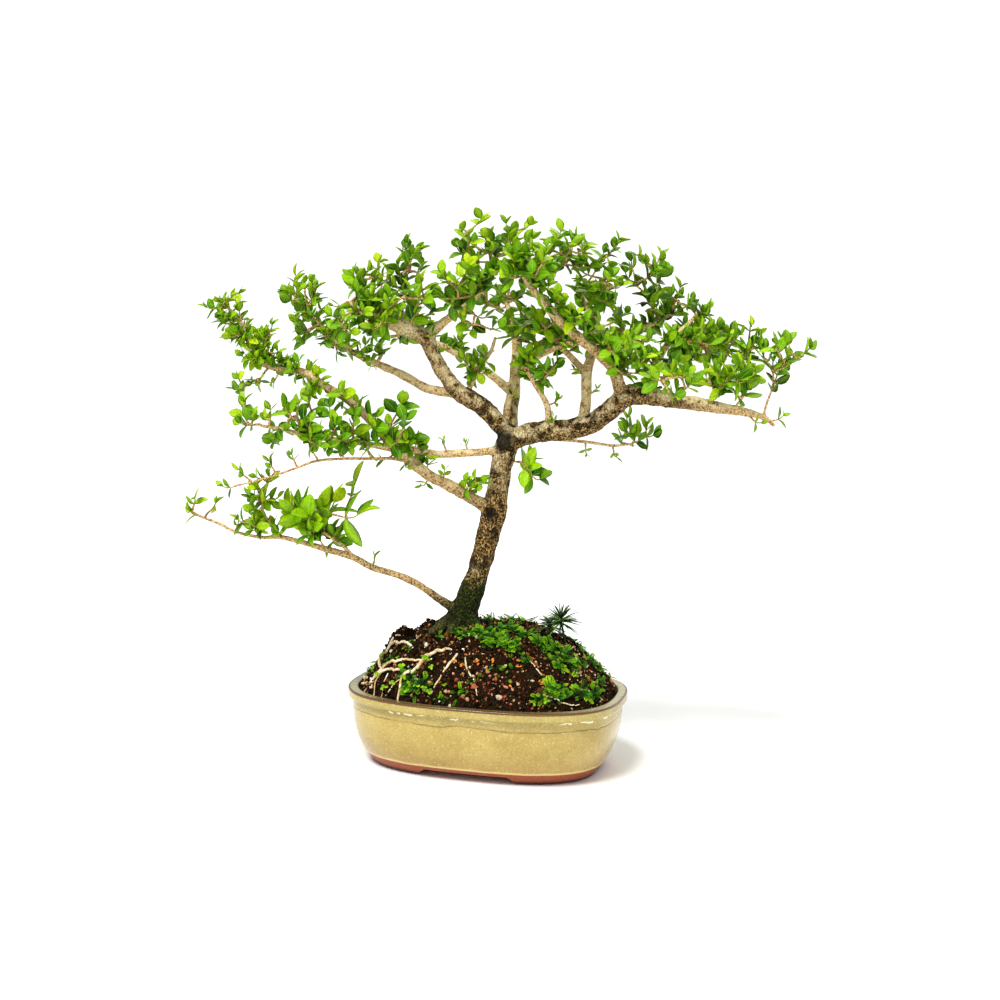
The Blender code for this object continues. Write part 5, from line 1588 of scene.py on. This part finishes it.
# Drifts: (x, y, spread on x, spread on y, turn in degrees, fronds, length), in millimetres from the
# pot's middle
FROND_DRIFTS = (
    (-22, -30, 6, 4, 0, 26, 7), (-10, -30, 7, 5, -10, 80, 9), (4, -31, 8, 5, -10, 120, 9),
    (18, -35, 8, 5, -15, 120, 9), (31, -42, 6, 4, -25, 80, 9), (12, -42, 7, 3, -15, 40, 8),
    (46, -50, 5, 4, -40, 12, 7), (-4, 10, 12, 8, 0, 40, 11), (20, -14, 10, 8, -10, 50, 11),
    (36, -20, 9, 7, -15, 44, 11), (56, -28, 8, 5, -20, 30, 11), (66, -24, 8, 6, -10, 46, 11),
    (78, -22, 7, 6, -10, 42, 11), (86, -30, 6, 5, 0, 20, 10), (74, -40, 6, 3, 0, 18, 10),
    (88, -12, 5, 6, 0, 20, 9), (92, 10, 5, 8, 0, 26, 10), (98, 30, 4, 8, 0, 24, 10),
    (72, -66, 5, 3, 20, 30, 10), (80, -60, 5, 3, 20, 28, 10), (66, -72, 3, 2, 0, 12, 9),
    (96, -46, 5, 4, 30, 22, 10), (104, -28, 4, 7, 0, 22, 9), (106, -10, 3, 6, 0, 16, 9),
    (-60, -66, 5, 3, 0, 18, 9), (-44, -76, 7, 3, 0, 26, 10), (-52, -72, 4, 3, 0, 12, 9),
    (-80, -44, 6, 4, 0, 14, 8), (-96, -36, 5, 4, 0, 14, 8), (-62, -40, 5, 4, 0, 9, 8),
    (-36, -34, 5, 3, 0, 10, 8), (-106, -20, 3, 8, 0, 14, 8), (40, 46, 16, 9, 15, 70, 11),
    (0, 52, 18, 10, 0, 40, 10), (-44, 34, 14, 10, 0, 32, 10), (72, 34, 12, 10, 0, 34, 10),
    (-80, 16, 10, 12, 0, 20, 9), (-20, 76, 30, 4, 0, 26, 9), (60, 70, 22, 5, 0, 24, 9),
    (22, 20, 16, 10, 0, 40, 11), (6, -72, 3, 2, 0, 8, 8), (-2, -80, 5, 2, 0, 8, 7),
    (-20, -82, 5, 2, 0, 7, 7), (30, -64, 7, 4, 0, 9, 8),
)
CLOVERS = (
    (-39, -62), (-41, -60), (-57, -70), (-75, -70), (-87, -39), (-97, -36), (-30, -82), (-42, -77),
    (-33, -70), (-62, -62), (-52, -78), (-70, -52), (-84, -60), (-18, -78), (-92, -48), (70, -74),
    (88, -52), (60, -76), (-66, -72), (-36, -80), (90, 44), (-70, 60), (20, 80),
)
FALLEN = (
    (-56, -34, 6), (46, -58, 5), (44, -54, 4), (68, -62, 5), (64, -60, 4), (20, -62, 4), (-16, -60, 4),
    (8, -60, 5), (-20, -44, 5), (52, -46, 4), (30, -40, 4), (86, -54, 5), (76, -66, 4), (-88, -52, 4),
    (-30, 40, 5), (50, 60, 5), (-60, 50, 4), (12, -76, 3), (-48, -84, 4), (-72, -66, 3), (96, -12, 4),
    (-8, -66, 4), (38, -72, 3), (80, 40, 5),
)
DRIFT_SHARE = 1.22


def frond_pattern():
    """Points and faces of one frond of unit length along y: a thin stem, and flat leaflets in pairs,
    each a lozenge with a raised middle, longest a third of the way up."""
    points = [(-0.012, 0, 0), (0.012, 0, 0), (0.0, 1.0, 0.0), (0, 0.3, 0.02)]
    faces = [(0, 1, 3), (1, 2, 3), (2, 0, 3), (0, 2, 1)]
    for place in range(FROND_LEAFLETS):
        along = 0.12 + 0.80 * place / (FROND_LEAFLETS - 1)
        reach = 0.34 * (1 - along) ** 0.6 * (0.55 + along) + 0.05
        for hand in (-1, 1):
            start = len(points)
            foot = (0, along)
            tip = (hand * reach, along + reach * 0.55)
            wide = 0.055
            aside = wide * hand * 0.55
            middle = ((foot[0] + tip[0]) / 2, (foot[1] + tip[1]) / 2)
            points += [
                (*foot, 0), (middle[0] + aside, middle[1] - wide, 0.0), (*tip, -0.03),
                (middle[0] - aside, middle[1] + wide, 0.0), (*middle, 0.035), (*middle, -0.02),
            ]
            loop = (0, 1, 2, 3) if hand > 0 else (0, 3, 2, 1)
            for corner in range(4):
                here, there = loop[corner], loop[(corner + 1) % 4]
                faces.append((start + here, start + there, start + 4))
                faces.append((start + there, start + here, start + 5))
    return np.array(points, float), faces


def frond_finish():
    """Fresh spikemoss: bright green, yellower at the tips and darker near the soil."""
    finish, tree, shader = new_finish("moss", 0.55, gloss=0.2)
    place = object_place(tree)
    shades = ((0.0, (6, 20, 2)), (0.3, (22, 70, 3)), (0.55, (84, 142, 6)), (1.0, (166, 204, 24)))
    tone = toned(tree, "tone", shades)
    blotch = clouds(tree, place, 700.0)
    colour = washed(tree, tone, paint(30, 92, 10), ramp(tree, blotch, 0.45, 0.7), 0.4)
    tree.links.new(colour, shader.inputs["Base Color"])
    relief(tree, shader, blotch, 0.0003)
    return finish


def frond_piece():
    """Every frond bends over by bow * length * v^2, and leans out from the mound by its own angle."""
    chance = np.random.default_rng(81)
    places, sizes = [], []
    for x, y, spread_x, spread_y, turn, count, length in FROND_DRIFTS:
        count = int(count * DRIFT_SHARE)
        scatter = chance.normal(0, 0.55, (count, 2)) * (spread_x, spread_y)
        angle = math.radians(turn)
        places.append(np.stack([
            x + scatter[:, 0] * math.cos(angle) - scatter[:, 1] * math.sin(angle),
            y + scatter[:, 0] * math.sin(angle) + scatter[:, 1] * math.cos(angle),
        ], axis=1) * MM)
        sizes.append(length * FROND_SCALE * chance.uniform(0.55, 1.15, count))
    at = np.concatenate(places)
    length = np.concatenate(sizes)
    at /= np.maximum(oval_share(at[:, 0], at[:, 1]) / SOIL_REACH, 1)[:, None]
    foot = np.column_stack([at, ground_height(at[:, 0], at[:, 1])])
    normal = ground_normal(at[:, 0], at[:, 1])
    axes = turned_frames(normal, chance.uniform(0, 2 * np.pi, len(at)))
    rise = chance.uniform(0.15, 1.0, len(at))[:, None]
    forward = unit(axes[:, 0] * np.cos(rise) + normal * np.sin(rise))
    face = unit(normal * np.cos(rise) - axes[:, 0] * np.sin(rise) + chance.normal(0, 0.2, (len(at), 3)))
    side = unit(np.cross(forward, face))
    shape, faces = frond_pattern()
    bow = chance.uniform(0.1, 0.5, len(at))
    x = shape[None, :, 0] * length[:, None]
    y = shape[None, :, 1] * length[:, None]
    z = shape[None, :, 2] * length[:, None] - bow[:, None] * length[:, None] * shape[None, :, 1] ** 2
    points = set_out(foot, x, y, z, side, forward, face)
    each = len(shape)
    all_faces = [tuple(np.asarray(f) + n * each) for n in range(len(at)) for f in faces]
    tone = np.clip(chance.normal(0.40, 0.2, len(at))[:, None] + 0.5 * (shape[None, :, 1] - 0.5), 0, 1)
    values = {"tone": tone.ravel()}
    return new_piece(
        "spikemoss", points.reshape(-1, 3), all_faces, frond_finish(), smooth=False, values=values
    )


def clover_parts():
    """Round leaflets in threes on a short stalk, standing clear of the soil."""
    chance = np.random.default_rng(91)
    at = np.array(CLOVERS, float) * MM + chance.normal(0, 0.0008, (len(CLOVERS), 2))
    normal = ground_normal(at[:, 0], at[:, 1])
    foot = np.column_stack([at, ground_height(at[:, 0], at[:, 1])])
    top = foot + unit(normal + np.array([0, 0, 0.8])) * chance.uniform(0.003, 0.0065, len(at))[:, None]
    stalks = [tube_skin(shoot_line(a, b, unit(b - a), 4), np.full(4, 0.0003), 4) for a, b in zip(foot, top)]
    spin = np.tile(np.arange(3) * 2.094, len(at)) + np.repeat(chance.uniform(0, 2, len(at)), 3)
    up = unit(normal * 0.5 + np.array([0.1, -0.35, 0.7]) + chance.normal(0, 0.25, (len(at), 3)))
    axes = turned_frames(np.repeat(up, 3, axis=0), spin)
    size = np.repeat(chance.uniform(0.0028, 0.0042, len(at)), 3)
    tones = np.clip(chance.normal(0.64, 0.10, len(size)), 0, 1)
    return (np.repeat(top, 3, axis=0), axes[:, 0], axes[:, 2], size, tones), stalks


def litter_finish():
    """Dead leaf: orange-brown with darker veins and burnt edges."""
    finish, tree, shader = new_finish("leaf_litter", 0.75, gloss=0.2)
    blotch = clouds(tree, object_place(tree), 380.0, detail=4.0)
    colour = mottled(tree, blotch, 0.35, 0.6, paint(158, 76, 20), paint(222, 150, 60))
    colour = washed(tree, colour, paint(200, 160, 96), ramp(tree, point_value(tree, "tone"), 0.6, 0.9), 0.6)
    tree.links.new(colour, shader.inputs["Base Color"])
    relief(tree, shader, blotch, 0.0004)
    return finish


def litter_piece():
    """Small dead leaves lying askew on the soil, curled at their tips."""
    chance = np.random.default_rng(95)
    spots = np.array(FALLEN, float) * MM
    foot = np.column_stack([spots[:, :2], ground_height(spots[:, 0], spots[:, 1]) + 0.0008])
    normal = unit(ground_normal(spots[:, 0], spots[:, 1]) + chance.normal(0, 0.3, (len(spots), 3)))
    axes = turned_frames(normal, chance.uniform(0, 6.28, len(spots)))
    count = len(spots)
    fold = chance.uniform(0.2, 0.7, count)
    curl = chance.uniform(-0.4, 0.3, count)
    points = leaf_points(foot, axes[:, 0], normal, spots[:, 2] * 1.2, spots[:, 2] * 0.75, fold, curl)
    each = len(LEAF_ACROSS)
    faces = [tuple(np.asarray(face) + n * each) for n in range(count) for face in LEAF_FACES]
    tone = np.repeat(chance.random(count), each)
    return new_piece(
        "leaf_litter", points.reshape(-1, 3), faces, litter_finish(), values={"tone": tone}
    )


spikemoss = frond_piece()
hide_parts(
    "moss_back", "moss_behind_trunk", "moss_front", "moss_left", "moss_right", "moss_right_rim"
)
clover_leaves, clover_stalks = clover_parts()
clovers = leaf_piece("clovers", *clover_leaves, np.random.default_rng(92), share=0.95)
stalk_points, stalk_faces = joined_skins(clover_stalks)
stalk_values = {"green": np.ones(len(stalk_points))}
new_piece(
    "clover_stalks", stalk_points, stalk_faces, young_shoots.data.materials[0], values=stalk_values
)
leaf_litter = litter_piece()


# The conifer seedling -------------------------------------------------------------------------
# A self-sown pine a finger-joint high at the right of the mound: one thin stem with whorls of long
# needles, the oldest bending down.

NEEDLES = 110
NEEDLE_LENGTH = 0.023
NEEDLE_RADIUS = 0.00052


def needle_finish():
    """Dark green needle, with lighter ones among them."""
    finish, tree, shader = new_finish("needle", 0.45, gloss=0.3)
    place = object_place(tree)
    grain = clouds(tree, place, 500.0)
    green = mottled(tree, grain, 0.4, 0.65, paint(8, 24, 8), paint(36, 76, 24))
    colour = washed(tree, green, paint(112, 150, 64), ramp(tree, point_value(tree, "green"), 0.5, 1.0))
    tree.links.new(colour, shader.inputs["Base Color"])
    relief(tree, shader, grain, 0.0002)
    return finish


def seedling_piece():
    """A stem from the ground to the crown's middle, then needles from its upper half: each leaves
    at its own angle, longest near the bottom, and sags by a share of its length squared."""
    chance = np.random.default_rng(99)
    low, high = (np.array(corner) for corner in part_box("conifer_seedling"))
    crown = np.array([(low[0] + high[0]) / 2, (low[1] + high[1]) / 2, high[2] - 0.010])
    foot = np.array([crown[0] + 0.004, crown[1], float(ground_height(crown[:1] + 0.004, crown[1:2])[0])])
    stem = shoot_line(foot, crown + np.array([0, 0, 0.002]), np.array([0.2, 0, 1.0]), 12)
    skins = [tube_skin(stem, np.linspace(0.0013, 0.0007, 12), 8)]
    greens = [np.full(len(skins[0][0]), 0.2)]
    turn = np.arange(NEEDLES) * GOLDEN_TURN
    rise = np.linspace(-0.45, 1.25, NEEDLES) + chance.normal(0, 0.12, NEEDLES)
    shorter = np.interp(rise, [-0.5, 0.4, 1.3], [1.0, 1.0, 0.75])
    reach = NEEDLE_LENGTH * chance.uniform(0.65, 1.0, NEEDLES) * shorter
    start = stem[-1] - np.array([0, 0, 1.0]) * np.linspace(0.0055, 0.0, NEEDLES)[:, None]
    side_tuft = np.arange(NEEDLES) % 5 < 2
    start = start + side_tuft[:, None] * np.array([-0.009, -0.003, -0.004])
    rise = np.where(side_tuft, rise * 0.6, rise)
    reach = np.where(side_tuft, reach * 0.7, reach)
    way = np.stack([np.cos(turn) * np.cos(rise), np.sin(turn) * np.cos(rise), np.sin(rise)], axis=1)
    t = np.linspace(0, 1, 7)
    for number in range(NEEDLES):
        line = start[number] + way[number] * reach[number] * t[:, None]
        line[:, 2] -= reach[number] * 0.22 * t**2 * math.cos(rise[number])
        girth = NEEDLE_RADIUS * np.array([0.6, 1.0, 1.0, 0.95, 0.85, 0.6, 0.25])
        points, faces = tube_skin(line, girth, 5)
        skins.append((points, faces))
        greens.append(np.full(len(points), chance.uniform(0.0, 1.0)))
    points, faces = joined_skins(skins)
    return new_piece(
        "seedling", points, faces, needle_finish(), values={"green": np.concatenate(greens)}
    )


seedling = seedling_piece()
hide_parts("conifer_seedling")


# The stage ------------------------------------------------------------------------------------
# A plain pale floor, a white surround, a broad soft sun high over the left shoulder, and two large
# soft lamps, one low from the front right and one behind. The camera stands right of the front.

CAMERA_TURN = math.radians(15.0)
CAMERA_RISE = math.radians(5.75)
CAMERA_ROLL = math.radians(1.25)
CAMERA_DISTANCE = 1.3
CAMERA_LENS = 51.71
AIM_SIDE = 0.007
AIM_HEIGHT = 0.2406
SURROUND_LIGHT = 0.50
SUN_PLACE = (-0.30, -0.75, 1.3)
SUN_POWER = 2.6
SUN_SPREAD = math.radians(22)
LAMPS = {
    "front_fill": ((0.9, -1.5, 0.7), 1.2, 5.0),
    "back": ((0.3, 1.4, 1.3), 1.4, 7.0),
}


def floor_finish():
    """Pale matt board with the faintest of tooth."""
    finish, tree, shader = new_finish("pale_floor", 0.9)
    grain = clouds(tree, object_place(tree), 60.0)
    colour = washed(tree, paint(252, 252, 251), paint(246, 246, 244), grain)
    tree.links.new(colour, shader.inputs["Base Color"])
    return finish


def make_stage():
    side = np.linspace(-4, 4, 9)
    x, y = np.meshgrid(side, side)
    mesh = bpy.data.meshes.new("floor")
    points = np.stack([x, y, x * 0], axis=-1).reshape(-1, 3)
    mesh.from_pydata(points.tolist(), [], grid_faces(9, 9, joined=False).tolist())
    mesh.materials.append(floor_finish())
    floor = bpy.data.objects.new("floor", mesh)
    bpy.context.scene.collection.objects.link(floor)
    sun = bpy.data.lights.new("sun", "SUN")
    sun.energy = SUN_POWER
    sun.angle = SUN_SPREAD
    holder = bpy.data.objects.new("sun", sun)
    holder.location = SUN_PLACE
    holder.rotation_euler = (-Vector(SUN_PLACE)).to_track_quat("-Z", "Y").to_euler()
    bpy.context.scene.collection.objects.link(holder)
    for name, (place, size, power) in LAMPS.items():
        lamp = bpy.data.lights.new(name, "AREA")
        lamp.size = size
        lamp.energy = power
        holder = bpy.data.objects.new(name, lamp)
        holder.location = place
        aim = Vector((0, 0, 0.25)) - Vector(place)
        holder.rotation_euler = aim.to_track_quat("-Z", "Y").to_euler()
        bpy.context.scene.collection.objects.link(holder)
    surround = bpy.data.worlds.new("white_surround")
    surround.use_nodes = True
    tree = surround.node_tree
    glow = tree.nodes["Background"]
    glow.inputs["Color"].default_value = (1, 1, 1, 1)
    glow.inputs["Strength"].default_value = SURROUND_LIGHT
    backdrop = tree.nodes.new("ShaderNodeBackground")
    backdrop.inputs["Color"].default_value = (1, 1, 1, 1)
    seen = tree.nodes.new("ShaderNodeLightPath").outputs["Is Camera Ray"]
    either = tree.nodes.new("ShaderNodeMixShader")
    tree.links.new(seen, either.inputs["Fac"])
    tree.links.new(glow.outputs["Background"], either.inputs[1])
    tree.links.new(backdrop.outputs["Background"], either.inputs[2])
    tree.links.new(either.outputs["Shader"], tree.nodes["World Output"].inputs["Surface"])
    bpy.context.scene.world = surround
    bpy.context.scene.view_settings.view_transform = "Standard"
    bpy.context.scene.view_settings.look = "Medium High Contrast"


def make_camera():
    """Stands back from the aim along the turn and the rise, and leans by the roll."""
    back = Vector((
        math.sin(CAMERA_TURN) * math.cos(CAMERA_RISE),
        -math.cos(CAMERA_TURN) * math.cos(CAMERA_RISE),
        math.sin(CAMERA_RISE),
    ))
    aim = Vector((AIM_SIDE * math.cos(CAMERA_TURN), AIM_SIDE * math.sin(CAMERA_TURN), AIM_HEIGHT))
    level = (-back).cross(Vector((0, 0, 1))).normalized()
    upright = level.cross(-back)
    across = level * math.cos(CAMERA_ROLL) + upright * math.sin(CAMERA_ROLL)
    up = upright * math.cos(CAMERA_ROLL) - level * math.sin(CAMERA_ROLL)
    camera = bpy.data.objects.new("camera", bpy.data.cameras.new("camera"))
    camera.data.lens = CAMERA_LENS
    camera.data.sensor_width = 36.0
    camera.matrix_world = Matrix((
        (across.x, up.x, back.x, aim.x + back.x * CAMERA_DISTANCE),
        (across.y, up.y, back.y, aim.y + back.y * CAMERA_DISTANCE),
        (across.z, up.z, back.z, aim.z + back.z * CAMERA_DISTANCE),
        (0, 0, 0, 1),
    ))
    bpy.context.scene.collection.objects.link(camera)
    bpy.context.scene.camera = camera


make_stage()
make_camera()
